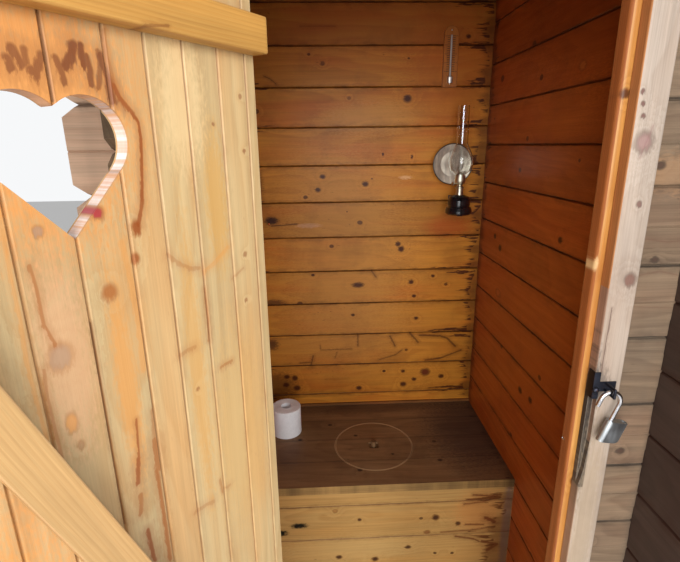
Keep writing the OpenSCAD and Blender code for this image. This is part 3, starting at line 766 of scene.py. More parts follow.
@dataclass(frozen=True)
class Marks:
    """The marks that one piece has at places of its own."""

    knots: tuple[Knot, ...] = ()
    strokes: tuple[Stroke, ...] = ()
    patches: tuple[Patch, ...] = ()
    ends: tuple[EndStain, ...] = ()
    zones: tuple[Zone, ...] = ()
    rings: tuple[Ring, ...] = ()


def patch_rows(*rows: Sequence[object]) -> tuple[Patch, ...]:
    """Make patches from rows of their place, reach, tone and share, with the lengths in millimetres."""
    return tuple(Patch((u / MM, v / MM), (long / MM, wide / MM), tone, share)
                 for u, v, long, wide, tone, share in rows)


def knot_rows(*rows: Sequence[object]) -> tuple[Knot, ...]:
    """Make knots from rows of their fields, with the lengths in millimetres."""
    return tuple(Knot(along / MM, across / MM, radius / MM, *rest) for along, across, radius, *rest in rows)


def stroke_rows(tone: Colour | None, *rows: Sequence[object]) -> tuple[Stroke, ...]:
    """Make strokes of one tone from rows of width, darkness and points, with the lengths in millimetres."""
    return tuple(Stroke(tuple((u / MM, v / MM) for u, v in points), width / MM, dark, tone)
                 for width, dark, *points in rows)


class Sheet:
    """The graph of one wooden piece's colour, with the places and the unevenness that its marks share."""

    BATCH = 6

    def __init__(self, g: Graph, effects: Effects, layout: Layout, marks: Marks) -> None:
        """Find the places on the piece.

        Args:
            g: the graph of the material.
            effects: the shared shader groups.
            layout: how the boards lie.
            marks: the piece's own marks.
        """
        self.g, self.effects, self.layout, self.marks = g, effects, layout, marks
        self.place = layout.turned(g, "Object")
        self.grain, self.board, self.gap = layout.boards(g, self.place)
        flat = layout.flat(g, self.place)
        self.uneven = g.noise(g.vector("MULTIPLY", flat, (90.0, 260.0, 1.0)), 1.0, 3.0, 0.6)
        self.wobble = g.minus(self.uneven, 0.5)
        sway = g.join(g.times(self.wobble, 0.008), g.times(self.wobble, -0.003), 0.0)
        self.flat = g.vector("ADD", flat, sway)
        self.used = 0

    def over_all(self, which: Group, **values: object) -> Node:
        """Place a shared effect that runs over all the boards."""
        return self.g.use(self.effects.trees[which], Grain=self.grain, Board=self.board, **values)

    def in_place(self, which: Group, last: object, **values: object) -> Node:
        """Place a shared effect that has a place of its own.

        After every few marks, the place waits for the mask of the last one. The renderer then works out a
        few marks at a time, which keeps its stack small.

        Args:
            which: the effect.
            last: the mask worked out last, or a number where there is none.
            values: the effect's own inputs.

        Returns:
            The group node.
        """
        g = self.g
        self.used += 1
        if self.used % self.BATCH == 0 and isinstance(last, Socket):
            self.flat = g.vector("ADD", self.flat, g.join(g.times(last, 1e-5), 0.0, 0.0))
        return g.use(self.effects.trees[which], Flat=self.flat, Uneven=self.uneven, **values)


@dataclass(frozen=True)
class WoodFinish:
    """One wood finish: its tones, its figure, and its edge tone, which is wear on some finishes and painted
    light on others.
    """

    pale: Colour
    deep: Colour
    warm: Colour = srgb(190, 100, 40)
    knot: Colour = srgb(92, 48, 22)
    joint: Colour = srgb(52, 30, 18)
    stain: Colour = srgb(66, 34, 16)
    # Edge tone: wear on most finishes; painted light on the frame, the brace and the thermometer board
    worn: Colour = srgb(232, 190, 130)
    ring_gap: float = 0.0055
    rings: float = 0.35
    fibre: float = 0.35
    warmth: float = 0.3
    plank_tone: float = 0.2
    knot_share: float = 0.4
    knot_size: float = 0.008
    specks: float = 0.5
    rough: float = 0.45
    coat: float = 0.0
    bump: float = 0.35
    joint_width: float = 0.0035
    joint_dark: float = 0.85
    grime: float = 0.25
    weather: float = 0.0
    edge: float = 0.0
    wear: float = 0.5

    def material(self, name: str, layout: Layout, marks: Marks, effects: Effects) -> Material:
        """Build the material.

        Args:
            name: the material's name.
            layout: how the boards lie.
            marks: the piece's own marks.
            effects: the shared shader groups.

        Returns:
            The material.
        """
        skin, g, shader = new_skin(name)
        sheet = Sheet(g, effects, layout, marks)
        pull, knots = self._own_knots(sheet)
        figure = sheet.over_all(Group.FIGURE, Ring_Gap=self.ring_gap, Knot_Share=self.knot_share,
                                Knot_Size=self.knot_size, Pull=pull)
        ground = self._ground(sheet, figure)
        colour = self._tints(sheet, ground)
        colour = g.mix(g.times(figure.outputs["Knot"], 0.75), colour, self.knot)
        colour = g.mix(g.times(figure.outputs["Rim"], 0.7), colour, self.stain)
        for mask, tone in knots:
            colour = g.mix(mask, colour, tone)
        if self.specks:
            colour = g.mix(g.times(sheet.over_all(Group.SPECKS).outputs[0], self.specks), colour, self.knot)
        colour = self._ends(sheet, self._strokes(sheet, colour))
        for zone in marks.zones:
            if zone.bare:
                colour = g.mix(zone.mask(g, sheet.place, layout.turned(g, "Normal")), colour, ground)
        colour = self._rings(sheet, colour)
        height = figure.outputs["Fibre"]
        if self.grime:
            dirt = g.noise(sheet.place, 7.0, 4.0, 0.62)
            colour = g.mix(g.ramp(dirt, 0.50, 0.80, (0.0, self.grime)), colour, self.stain)
        if layout.pitch or layout.joints:
            joint = sheet.over_all(Group.JOINT, Gap=sheet.gap, Width=self.joint_width)
            colour = g.mix(g.times(joint.outputs["Halo"], 0.45 * self.joint_dark), colour, self.stain)
            colour = g.mix(g.times(joint.outputs["Line"], self.joint_dark), colour, self.joint)
            edges = g.ramp(sheet.gap, 0.2 * self.joint_width, 1.2 * self.joint_width, smooth=True)
            height = g.times(height, edges)
        if self.weather:
            worn = g.use(effects.trees[Group.WEATHER], Place=sheet.place, Amount=self.weather)
            colour = g.mix(g.times(worn.outputs["Grey"], 0.75), colour, BLOOM)
            colour = g.mix(g.times(worn.outputs["Streak"], 0.35 * self.weather), colour, RAIN_STREAK)
        normal = None
        # Edge tone: wear on most finishes, a painted highlight on the frame and the brace, a painted shadow
        # on the thermometer board
        if self.edge:
            rim = g.use(effects.trees[Group.EDGE], Radius=self.edge)
            colour = g.mix(g.times(rim.outputs["Wear"], self.wear), colour, self.worn)
            normal = rim.outputs["Normal"]
        rough = g.ramp(figure.outputs["Fibre"], 0.3, 0.7, (self.rough + 0.08, self.rough - 0.06))
        g.fill(shader, Base_Color=colour, Roughness=rough, Coat_Weight=self.coat, Coat_Roughness=0.25,
               Specular_IOR_Level=0.22)
        g.bumped(shader, height, self.bump, 0.0012, normal)
        return skin

    def _ground(self, sheet: Sheet, figure: Node) -> object:
        """Mix the tones of the rings, the warm clouds, the fibres and the boards.

        Args:
            sheet: the graph of the piece's colour.
            figure: the placed figure group.

        Returns:
            The colour.
        """
        g = sheet.g
        pale: object = self.pale
        deep: object = self.deep
        warmth: object = self.warmth
        normal = sheet.layout.turned(g, "Normal")
        for zone in sheet.marks.zones:
            mask = zone.mask(g, sheet.place, normal)
            pale = g.mix(mask, pale, zone.pale)
            deep = g.mix(mask, deep, zone.deep)
            warmth = g.times(g.minus(1.0, mask), warmth)
        colour = g.mix(g.times(figure.outputs["Rings"], self.rings), pale, deep)
        cloud, fibre = figure.outputs["Cloud"], figure.outputs["Fibre"]
        colour = g.mix(g.times(g.ramp(cloud, 0.46, 0.70, smooth=True), warmth), colour, self.warm)
        tone = g.ramp(sheet.board, 0.0, 1.0, (1.0 - self.plank_tone, 1.0 + self.plank_tone * 0.5))
        soft = g.ramp(cloud, 0.25, 0.75, (0.90, 1.08))
        streak = g.ramp(fibre, 0.32, 0.68, (1.0 - self.fibre * 0.5, 1.0 + self.fibre * 0.25))
        axis = tuple(1.0 if k == sheet.layout.run.value[0] else 0.0 for k in range(3))
        end = g.math("ABSOLUTE", g.vector("DOT_PRODUCT", normal, axis))
        shade = g.times(tone, soft, streak, g.ramp(end, 0.75, 0.95, (1.0, 0.72)))
        return g.mix(1.0, colour, g.grey(shade), Blend.MULTIPLY)

    def _own_knots(self, sheet: Sheet) -> tuple[object, list[tuple[object, Colour]]]:
        """Place the knots that have a place of their own.

        Args:
            sheet: the graph of the piece's colour.

        Returns:
            How far the rings are pulled aside, and the masks with their tones.
        """
        g = sheet.g
        pull: object = 0.0
        layers: dict[Colour, object] = {}
        mask: object = 0.0
        for knot in sheet.marks.knots:
            one = sheet.in_place(Group.KNOT, mask, At=(knot.along, knot.across, 0.0), Radius=knot.radius,
                                 Stretch=(knot.stretch, 1.0, 1.0))
            pull = g.plus(one.outputs["Pull"], pull)
            for tone, part, share in ((knot.tone or self.knot, "Core", 1.0), (self.stain, "Rim", 0.7)):
                mask = g.times(one.outputs[part], knot.dark * share)
                layers[tone] = g.math("MAXIMUM", mask, layers.get(tone, 0.0))
        return pull, [(mask, tone) for tone, mask in layers.items()]

    def _tints(self, sheet: Sheet, colour: object) -> object:
        """Lay the soft clouds over the colour."""
        g = sheet.g
        mask: object = 0.0
        for patch in sheet.marks.patches:
            at, reach = (*patch.at, 0.0), (*patch.reach, 1.0)
            mask = sheet.in_place(Group.PATCH, mask, At=at, Reach=reach).outputs[0]
            colour = g.mix(g.times(mask, patch.share), colour, patch.tone)
        return colour

    def _strokes(self, sheet: Sheet, colour: object) -> object:
        """Lay the soft lines over the colour, those of one tone together."""
        g = sheet.g
        layers: dict[Colour, object] = {}
        mask: object = 0.0
        for stroke in sheet.marks.strokes:
            tone = stroke.tone or self.knot
            for start, end in zip(stroke.points, stroke.points[1:]):
                part = sheet.in_place(Group.STROKE, mask, From=(*start, 0.0), To=(*end, 0.0),
                                      Width=stroke.width)
                mask = g.times(part.outputs["Mark"], stroke.dark)
                layers[tone] = g.math("MAXIMUM", mask, layers.get(tone, 0.0))
        for tone, mask in layers.items():
            colour = g.mix(mask, colour, tone)
        return colour

    def _ends(self, sheet: Sheet, colour: object) -> object:
        """Lay the ragged end stains over the colour."""
        g = sheet.g
        along = g.split(sheet.grain)[0]
        for end in sheet.marks.ends:
            far = g.times(g.minus(along, end.at), end.way)
            mark = sheet.over_all(Group.FINGERS, From_End=far, Reach=end.reach, Start=end.start,
                                  Gap=sheet.gap)
            colour = g.mix(g.times(mark.outputs["Damp"], 0.7 * end.share), colour, self.stain)
            colour = g.mix(g.times(mark.outputs["Stain"], end.share), colour, self.stain)
        return colour

    def _rings(self, sheet: Sheet, colour: object) -> object:
        """Lay the rings on level faces over the colour."""
        g = sheet.g
        for ring in sheet.marks.rings:
            away = g.vector("SUBTRACT", sheet.place, (*ring.axis, 0.0))
            away = g.vector("MULTIPLY", away, (1.0, 1.0, 0.0))
            far = g.plus(g.vector("LENGTH", away), g.times(sheet.wobble, 0.0012))
            mask = g.times(g.ramp(far, ring.inner - 0.0006, ring.inner, smooth=True),
                           g.ramp(far, ring.outer + 0.0006, ring.outer, smooth=True))
            colour = g.mix(g.times(mask, ring.share), colour, ring.tone)
        return colour


@dataclass(frozen=True)
class MetalFinish:
    """A metal finish with rust specks and dull patches."""

    base: Colour
    rough: float = 0.4
    rust: float = 0.3
    fineness: float = 160.0
    rust_tone: Colour = srgb(104, 58, 32)
    bump: float = 0.2
    streaks: float = 0.0

    def material(self, name: str, effects: Effects) -> Material:
        """Build the material.

        Args:
            name: the material's name.
            effects: the shared shader groups.

        Returns:
            The material.
        """
        skin, g, shader = new_skin(name)
        place = g.add("ShaderNodeTexCoord").outputs["Object"]
        spots = g.use(effects.trees[Group.RUST], Place=place, Amount=self.rust, Fineness=self.fineness)
        dull = g.ramp(spots.outputs["Dull"], 0.3, 0.7, (0.80, 1.08))
        fine = g.noise(place, 900.0, 2.0)
        if self.streaks:
            drawn = g.noise(g.vector("MULTIPLY", place, (120.0, 120.0, 9.0)), 1.0, 2.0)
            dull = g.times(dull, g.ramp(drawn, 0.35, 0.65, (1.0 - self.streaks, 1.0 + 0.3 * self.streaks)))
            fine = g.plus(g.times(fine, 0.4), drawn)
        colour = g.mix(1.0, self.base, g.grey(dull), Blend.MULTIPLY)
        colour = g.mix(spots.outputs["Rust"], colour, self.rust_tone)
        rough = g.ramp(spots.outputs["Dull"], 0.3, 0.7, (self.rough - 0.06, self.rough + 0.10))
        rough = g.math("ADD", rough, g.times(spots.outputs["Rust"], 0.4), clamp=True)
        g.fill(shader, Base_Color=colour, Roughness=rough, Metallic=g.minus(1.0, spots.outputs["Rust"]))
        g.bumped(shader, g.plus(fine, spots.outputs["Rust"]), self.bump, 0.0004)
        return skin


@dataclass(frozen=True)
class PlainFinish:
    """A finish that isn't wood or metal: enamel, paper or felt, with its own fine surface."""

    base: Colour
    second: Colour
    rough: float = 0.5
    coat: float = 0.0
    scale: float = 60.0
    spread: float = 0.5
    bump: float = 0.2
    depth: float = 0.0005

    def material(self, name: str) -> Material:
        """Build the material.

        Args:
            name: the material's name.

        Returns:
            The material.
        """
        skin, g, shader = new_skin(name)
        place = g.add("ShaderNodeTexCoord").outputs["Object"]
        coarse = g.noise(place, self.scale * 0.25, 3.0)
        fine = g.noise(place, self.scale, 4.0, 0.65)
        both = g.plus(g.times(coarse, 0.5), g.times(fine, 0.5))
        colour = g.mix(g.ramp(both, 0.5 - self.spread / 2, 0.5 + self.spread / 2), self.base, self.second)
        rough = g.ramp(fine, 0.3, 0.7, (max(0.0, self.rough - 0.05), min(1.0, self.rough + 0.07)))
        g.fill(shader, Base_Color=colour, Roughness=rough, Coat_Weight=self.coat, Coat_Roughness=0.08)
        g.bumped(shader, fine, self.bump, self.depth)
        return skin


@dataclass(frozen=True)
class GlassFinish:
    """Clear blown glass with a little soot and dust."""

    tint: Colour = (0.97, 0.99, 0.99)
    soot: Colour = srgb(150, 132, 104)
    soot_from: float = 1.52
    soot_to: float = 1.60

    def material(self, name: str) -> Material:
        """Build the material.

        Args:
            name: the material's name.

        Returns:
            The material.
        """
        skin, g, shader = new_skin(name)
        place = g.add("ShaderNodeTexCoord").outputs["Object"]
        film = g.noise(place, 42.0, 3.0)
        height = g.split(place)[2]
        sooty = g.ramp(height, self.soot_to, self.soot_from, (0.3, 1.0))
        share = g.times(g.ramp(film, 0.40, 0.75, (0.02, 0.20)), sooty)
        rough = g.ramp(film, 0.3, 0.8, (0.0, 0.05))
        colour = g.mix(share, self.tint, self.soot)
        g.fill(shader, Base_Color=colour, Roughness=rough, Transmission_Weight=1.0, IOR=1.45)
        g.bumped(shader, g.noise(place, 30.0, 1.0), 0.08, 0.001)
        return skin


class Finishes:
    """All the finishes of the outhouse and the materials made of them."""

    def __init__(self) -> None:
        """Build the shared effects."""
        self.effects = Effects()
        self.made: dict[str, Material] = {}

    def metal(self, name: str) -> Material:
        """Make one of the metals once, and give it again by its name."""
        if name not in self.made:
            self.made[name] = METALS[name].material(name, self.effects)
        return self.made[name]

    def other(self, name: str) -> Material:
        """Make one of the other materials once, and give it again by its name."""
        if name not in self.made:
            self.made[name] = OTHERS[name].material(name)
        return self.made[name]


def show(thing: Thing) -> None:
    """Put an object into the scene."""
    bpy.context.scene.collection.objects.link(thing)


def dress(thing: Thing, *skins: Material) -> None:
    """Give an object its materials in place of those it has.

    Args:
        thing: the object.
        skins: its materials, in the order of its slots.
    """
    thing.data.materials.clear()
    for skin in skins:
        thing.data.materials.append(skin)


DOOR_HALF_JOINTS = (0.0, 0.0585, 0.1055, 0.1565, 0.2105, 0.2595)
DOOR_JOINTS = tuple(sorted({side * far - 0.0005 for side in (-1, 1) for far in DOOR_HALF_JOINTS}))
WALL_MID = SIDE_IN + WALL_T / 2
BACK_MID = BACK_IN + WALL_T / 2
FRONT_MID = FRONT_IN - WALL_T / 2

VARNISHED = WoodFinish(
    pale=srgb(200, 132, 45), deep=srgb(163, 91, 23), warm=srgb(178, 87, 22), knot=srgb(58, 16, 4),
    joint=srgb(59, 27, 11), stain=srgb(73, 31, 11), rings=0.42, fibre=0.4, warmth=0.5, plank_tone=0.24,
    knot_share=0.3, knot_size=0.006, specks=0.55, rough=0.42, coat=0.04, joint_width=0.0034,
    joint_dark=0.85, grime=0.32,
)
VARNISHED_SIDE = WoodFinish(
    pale=srgb(193, 99, 36), deep=srgb(151, 65, 19), warm=srgb(161, 67, 19), knot=srgb(52, 14, 4),
    joint=srgb(47, 20, 12), stain=srgb(59, 25, 12), rings=0.3, fibre=0.4, warmth=0.4, plank_tone=0.18,
    knot_share=0.3, knot_size=0.007, specks=0.35, rough=0.38, coat=0.1, joint_width=0.0036, grime=0.28,
)
OUTSIDE_PALE = srgb(160, 132, 102)
OUTSIDE_DEEP = srgb(118, 92, 70)
FRONT_PLANKS = WoodFinish(
    pale=srgb(150, 124, 98), deep=srgb(114, 88, 67), warm=srgb(132, 94, 72), knot=srgb(78, 50, 38),
    joint=srgb(34, 26, 22), stain=srgb(62, 46, 36), rings=0.5, fibre=0.6, warmth=0.35, plank_tone=0.14,
    knot_share=0.3, knot_size=0.007, specks=0.5, rough=0.64, joint_width=0.0036, grime=0.3, weather=0.4,
    edge=0.002, wear=0.25, worn=srgb(196, 174, 146),
)
# The left front planks with painted sunlight: the weathered planks, paler and pinker where the sun falls
FRONT_PAINTED_SUNLIGHT = WoodFinish(
    pale=srgb(236, 198, 168), deep=srgb(212, 164, 134), warm=srgb(222, 170, 136), knot=srgb(120, 84, 66),
    joint=srgb(60, 46, 38), stain=srgb(120, 90, 72), rings=0.4, fibre=0.5, warmth=0.35, plank_tone=0.10,
    knot_share=0.3, knot_size=0.006, specks=0.4, rough=0.62, joint_width=0.0036, grime=0.2, weather=0.2,
)
TRIM = WoodFinish(
    pale=srgb(190, 173, 158), deep=srgb(160, 138, 119), warm=srgb(170, 144, 124), knot=srgb(112, 72, 66),
    stain=srgb(92, 70, 58), joint=srgb(52, 40, 32), rings=0.35, fibre=0.5, warmth=0.4, plank_tone=0.06,
    knot_share=0.12, knot_size=0.006, specks=0.4, rough=0.62, grime=0.22, weather=0.25, ring_gap=0.004,
    edge=0.0025, wear=0.4, worn=srgb(222, 206, 186),
)
# The frame's yellow edges are partly wear and partly a painted highlight along the arrises
FRAME = WoodFinish(
    pale=srgb(218, 156, 82), deep=srgb(184, 114, 54), warm=srgb(188, 110, 48), knot=srgb(84, 42, 22),
    stain=srgb(100, 52, 24), rings=0.4, fibre=0.35, warmth=0.4, plank_tone=0.05, knot_share=0.12,
    specks=0.25, rough=0.36, coat=0.2, grime=0.15, ring_gap=0.004, edge=0.004, wear=0.75,
    worn=srgb(238, 186, 104),
)
DOOR_BOARDS = WoodFinish(
    pale=srgb(199, 172, 126), deep=srgb(180, 139, 87), warm=srgb(188, 139, 85), knot=srgb(132, 78, 45),
    joint=srgb(141, 94, 52), stain=srgb(158, 105, 60), rings=0.34, fibre=0.3, warmth=0.6, plank_tone=0.14,
    knot_share=0.16, knot_size=0.005, specks=0.18, rough=0.44, coat=0.08, joint_width=0.0016,
    joint_dark=0.6, grime=0.08, ring_gap=0.006,
)
LEDGES = WoodFinish(
    pale=srgb(196, 148, 78), deep=srgb(176, 119, 54), warm=srgb(186, 128, 56), knot=srgb(130, 76, 36),
    stain=srgb(140, 84, 38), rings=0.4, fibre=0.35, warmth=0.4, plank_tone=0.04, knot_share=0.1, specks=0.2,
    rough=0.42, coat=0.1, grime=0.1, ring_gap=0.0045, edge=0.003, wear=0.5, worn=srgb(236, 190, 130),
)
# The brace's pale peach edge tone is a painted highlight along its arrises
BRACE = replace(
    LEDGES, pale=srgb(202, 162, 108), deep=srgb(184, 138, 86), warm=srgb(198, 146, 86), rings=0.35,
    rough=0.46, coat=0.05, wear=0.6, worn=srgb(244, 196, 152),
)
BENCH_TOP = WoodFinish(
    pale=srgb(140, 107, 73), deep=srgb(106, 75, 52), warm=srgb(119, 82, 52), knot=srgb(43, 27, 21),
    joint=srgb(43, 30, 21), stain=srgb(52, 36, 31), rings=0.4, fibre=0.55, warmth=0.4, plank_tone=0.08,
    knot_share=0.35, knot_size=0.006, specks=0.6, rough=0.50, coat=0.05, grime=0.45, joint_width=0.0016,
    joint_dark=0.6,
)
BENCH_FRONT = WoodFinish(
    pale=srgb(196, 155, 92), deep=srgb(169, 119, 62), warm=srgb(182, 130, 66), knot=srgb(60, 34, 20),
    joint=srgb(96, 58, 28), stain=srgb(92, 46, 18), rings=0.35, fibre=0.4, warmth=0.4, plank_tone=0.10,
    knot_share=0.3, knot_size=0.005, specks=0.4, rough=0.42, coat=0.1, grime=0.15, joint_width=0.0022,
    joint_dark=0.7,
)
LATH = WoodFinish(
    pale=srgb(120, 80, 42), deep=srgb(84, 50, 24), plank_tone=0.0, knot_share=0.1, rough=0.5, grime=0.4,
    specks=0.4,
)
ROOF_BOARDS = WoodFinish(
    pale=srgb(200, 160, 108), deep=srgb(164, 120, 72), rings=0.5, plank_tone=0.15, knot_share=0.5,
    rough=0.6, grime=0.3, joint_width=0.003,
)
BEARER = WoodFinish(
    pale=srgb(112, 98, 82), deep=srgb(78, 66, 54), knot=srgb(48, 38, 30), rings=0.6, fibre=0.6, warmth=0.0,
    plank_tone=0.15, rough=0.75, grime=0.5, weather=0.7,
)
# The board's dark edge tone is a painted shadow round its edges
THERMO_WOOD = WoodFinish(
    pale=srgb(186, 116, 54), deep=srgb(156, 88, 38), rings=0.4, plank_tone=0.0, knot_share=0.0, rough=0.3,
    coat=0.4, grime=0.1, specks=0.0, edge=0.0035, wear=0.8, worn=srgb(96, 50, 24),
)

OUTSIDE_BACK = Zone(OUTSIDE_PALE, OUTSIDE_DEEP, low=(-FAR, BACK_MID, -FAR), bare=True)
OUTSIDE_RIGHT = Zone(OUTSIDE_PALE, OUTSIDE_DEEP, low=(WALL_MID, -FAR, -FAR), bare=True)
OUTSIDE_LEFT = Zone(OUTSIDE_PALE, OUTSIDE_DEEP, high=(-WALL_MID, FAR, FAR), bare=True)
RED_BROWN = srgb(96, 38, 16)
RESIN = srgb(150, 84, 32)
SCAR = srgb(158, 96, 48)
TAR = srgb(16, 18, 12)
GREYED = srgb(128, 114, 104)

BACK_MARKS = Marks(
    knots=knot_rows(
        (141, 1722, 11, 1.1, 0.95), (119, 1210, 8, 1.1), (131, 1191, 10, 1.0, 0.95), (-32, 1053, 9, 2.2),
        (173, 1060, 8, 1.1), (186, 1003, 6), (197, 911, 6), (-52, 931, 5), (-204, 1097, 5), (257, 1082, 5),
        (242, 675, 14, 1.2, 0.95, RED_BROWN), (309, 654, 8), (153, 623, 9), (197, 644, 7), (151, 682, 6),
        (73, 685, 5), (-29, 612, 8), (-321, 672, 8), (-289, 666, 10, 1.0, 0.9), (-326, 636, 9),
        (-282, 621, 10, 1.2, 0.9), (-159, 1462, 7), (-177, 1416, 7), (-5, 1434, 8), (162, 1527, 6, 0.6),
        (58, 1537, 5, 0.7), (342, 1916, 6), (-151, 1835, 6, 1.2, 0.6), (-62, 1725, 5, 1.2, 0.5),
    ),
    strokes=(
        *stroke_rows(
            None, (5, 0.7, (95, 838), (116, 794)), (3, 0.7, (-33, 846), (-33, 799)),
            (2.5, 0.55, (-184, 808), (-181, 786), (-57, 787)), (5, 0.7, (-213, 761), (-222, 722)),
            (3, 0.7, (-266, 732), (-218, 735)), (2.5, 0.5, (-117, 775), (-125, 749)),
            (6, 0.7, (175, 848), (208, 808)), (3, 0.6, (48, 735), (117, 755), (145, 776)),
            (6, 0.75, (215, 838), (296, 832), (325, 822), (360, 786)),
            (5, 0.7, (385, 768), (301, 735), (240, 728)),
            (3, 0.6, (-349, 1797), (-329, 1788), (-310, 1772)), (5, 0.6, (18, 1111), (37, 1083)),
        ),
        *stroke_rows(RED_BROWN, (4, 0.4, (-222, 1948), (-107, 1948))),
        # Painted shadow of the wall nail: a dark line beside it
        *stroke_rows(srgb(66, 26, 10), (2.4, 0.85, (-350, 1287), (-257, 1293))),
    ),
    patches=patch_rows(
        (0, 1980, 600, 220, srgb(190, 104, 48), 0.35), (300, 1800, 220, 260, srgb(176, 84, 26), 0.5),
        (-80, 1200, 320, 460, srgb(212, 152, 72), 0.45), (20, 1660, 200, 70, srgb(214, 152, 76), 0.5),
        (310, 1270, 110, 50, srgb(172, 70, 18), 0.6), (-100, 860, 340, 220, srgb(196, 136, 60), 0.4),
        (-370, 630, 120, 90, srgb(56, 24, 10), 0.65), (-360, 990, 60, 16, srgb(66, 30, 12), 0.75),
        (-375, 815, 35, 30, srgb(60, 26, 12), 0.8), (-395, 1440, 30, 100, srgb(84, 36, 14), 0.6),
        (141, 1455, 30, 8, srgb(226, 172, 116), 0.85), (-350, 1306, 34, 20, srgb(46, 14, 8), 0.95),
        (-215, 1286, 55, 11, srgb(212, 162, 124), 0.6),
    ),
    ends=(EndStain(SIDE_IN, -1.0, 0.120, 0.020, 0.95), EndStain(-SIDE_IN, 1.0, 0.060, 0.004)),
    zones=(OUTSIDE_BACK, OUTSIDE_RIGHT, OUTSIDE_LEFT),
)
RIGHT_MARKS = Marks(
    knots=knot_rows(
        (347, 1232, 10, 1.1, 0.9), (400, 1262, 8), (-44, 1736, 10, 1.4, 0.5, srgb(190, 110, 50)),
        (331, 1079, 12, 1.6, 0.6, srgb(176, 96, 50)), (244, 1492, 6), (-36, 1334, 7), (95, 841, 9),
        (25, 847, 8),
    ),
    # The first patch is painted light: a brighter orange pool low on the wall
    patches=patch_rows(
        (100, 950, 450, 300, srgb(176, 90, 32), 0.5), (-100, 1850, 500, 200, srgb(120, 46, 16), 0.45),
        (-250, 1550, 220, 220, srgb(132, 54, 18), 0.4),
    ),
    ends=(EndStain(BACK_IN, -1.0, 0.045, 0.020),),
    zones=(
        OUTSIDE_RIGHT,
        OUTSIDE_BACK,
        # Painted shade on the forward stub of the right wall: dark grey-brown
        Zone(srgb(80, 64, 57), srgb(55, 43, 40), high=(WALL_MID, FRONT_MID, FAR)),
    ),
)
LEFT_MARKS = Marks(
    ends=(EndStain(BACK_IN, -1.0, 0.045, 0.020),),
    zones=(
        OUTSIDE_LEFT,
        OUTSIDE_BACK,
        # Painted sunlight on the forward stub of the left wall: pale pink
        Zone(srgb(232, 190, 160), srgb(214, 160, 130), low=(-WALL_MID, -FAR, -FAR),
             high=(FAR, FRONT_MID, FAR)),
    ),
)
FRONT_INSIDE = Zone(
    srgb(178, 96, 40), srgb(138, 64, 24), low=(-WALL_MID, FRONT_MID, -FAR), high=(WALL_MID, FAR, FAR),
)
FRONT_RIGHT_MARKS = Marks(
    knots=knot_rows((364, 1533, 6), (381, 1012, 6), (350, 806, 5), (382, 1380, 5)),
    strokes=(
        *stroke_rows(
            srgb(120, 80, 60), (2, 0.5, (345, 1418), (400, 1410), (452, 1416)),
            (2, 0.5, (345, 1352), (395, 1360), (452, 1348)), (1.5, 0.4, (345, 1300), (452, 1293)),
        ),
        *stroke_rows(
            srgb(120, 86, 66), (1.5, 0.4, (345, 1085), (452, 1078)), (1.5, 0.45, (345, 948), (452, 952)),
        ),
    ),
    patches=patch_rows(
        (400, 1520, 100, 40, srgb(196, 148, 104), 0.5), (440, 900, 20, 500, srgb(96, 80, 66), 0.6),
    ),
    zones=(FRONT_INSIDE,),
)
FRONT_MARKS = Marks(zones=(FRONT_INSIDE,))
# Painted shade: the frame posts' faces towards the doorway, darker than the rest of the frame
REVEAL_PAINTED_SHADE_PALE = srgb(178, 106, 58)
REVEAL_PAINTED_SHADE_DEEP = srgb(148, 78, 40)
POST_RIGHT_MARKS = Marks(
    knots=knot_rows((1638, 290, 6, 1.2, 0.9), (950, 300, 6)),
    patches=patch_rows((1375, 283.5, 16, 4, srgb(244, 206, 150), 0.9)),
    zones=(Zone(REVEAL_PAINTED_SHADE_PALE, REVEAL_PAINTED_SHADE_DEEP, facing=TO_LEFT),),
)
POST_LEFT_MARKS = Marks(zones=(Zone(REVEAL_PAINTED_SHADE_PALE, REVEAL_PAINTED_SHADE_DEEP, facing=TO_RIGHT),))
TRIM_RIGHT_MARKS = Marks(
    knots=knot_rows(
        (1568, 315, 13, 1.1, 0.65, srgb(150, 104, 104)), (1354, 328, 9, 1.2, 0.8, srgb(120, 74, 62)),
        (1476, 323, 4, 1.2, 0.8), (1639, 301, 3), (1622, 304, 3), (1605, 307, 3),
    ),
    strokes=(
        *stroke_rows(srgb(92, 62, 50), (1.8, 0.75, (1306, 306), (1246, 305), (1190, 304.5))),
        *stroke_rows(srgb(140, 96, 94), (1.5, 0.4, (1545, 312), (1592, 325))),
    ),
    patches=patch_rows(
        # The first patch is painted shade in the broken-off notch below the staple
        (1075, 296, 170, 11, srgb(44, 38, 36), 0.95), (1162, 306, 45, 20, srgb(70, 60, 54), 0.6),
        (850, 315, 300, 30, srgb(172, 150, 120), 0.5),
    ),
    zones=(
        Zone(srgb(196, 128, 70), srgb(162, 92, 46), low=(-FAR, -FAR, 1.34), facing=TO_LEFT),
        Zone(srgb(176, 136, 112), srgb(150, 108, 84), high=(FAR, FAR, 1.34), facing=TO_LEFT),
        # Painted shade in the broken-off notch below the staple
        Zone(srgb(56, 46, 42), srgb(40, 32, 30), low=(0.294, -FAR, 0.955), high=(0.3035, FAR, 1.145)),
    ),
)
# Painted sunlight: the cut faces of the heart, near white
HEART_CUT_PAINTED_SUNLIGHT = Zone(
    srgb(253, 251, 250), srgb(246, 240, 236), low=(-0.085, DOOR_Y0 + 0.003, 1.375),
    high=(0.085, DOOR_Y1 - 0.003, 1.66), facing=TO_REAR, sideways=True,
)
PURPLE_BROWN = srgb(98, 42, 22)
AMBER = srgb(140, 70, 26)
GOLD = srgb(208, 140, 68)
GREY_KNOT = srgb(152, 122, 102)
CHERRY = srgb(160, 50, 56)
DARK_LINE = srgb(90, 62, 40)
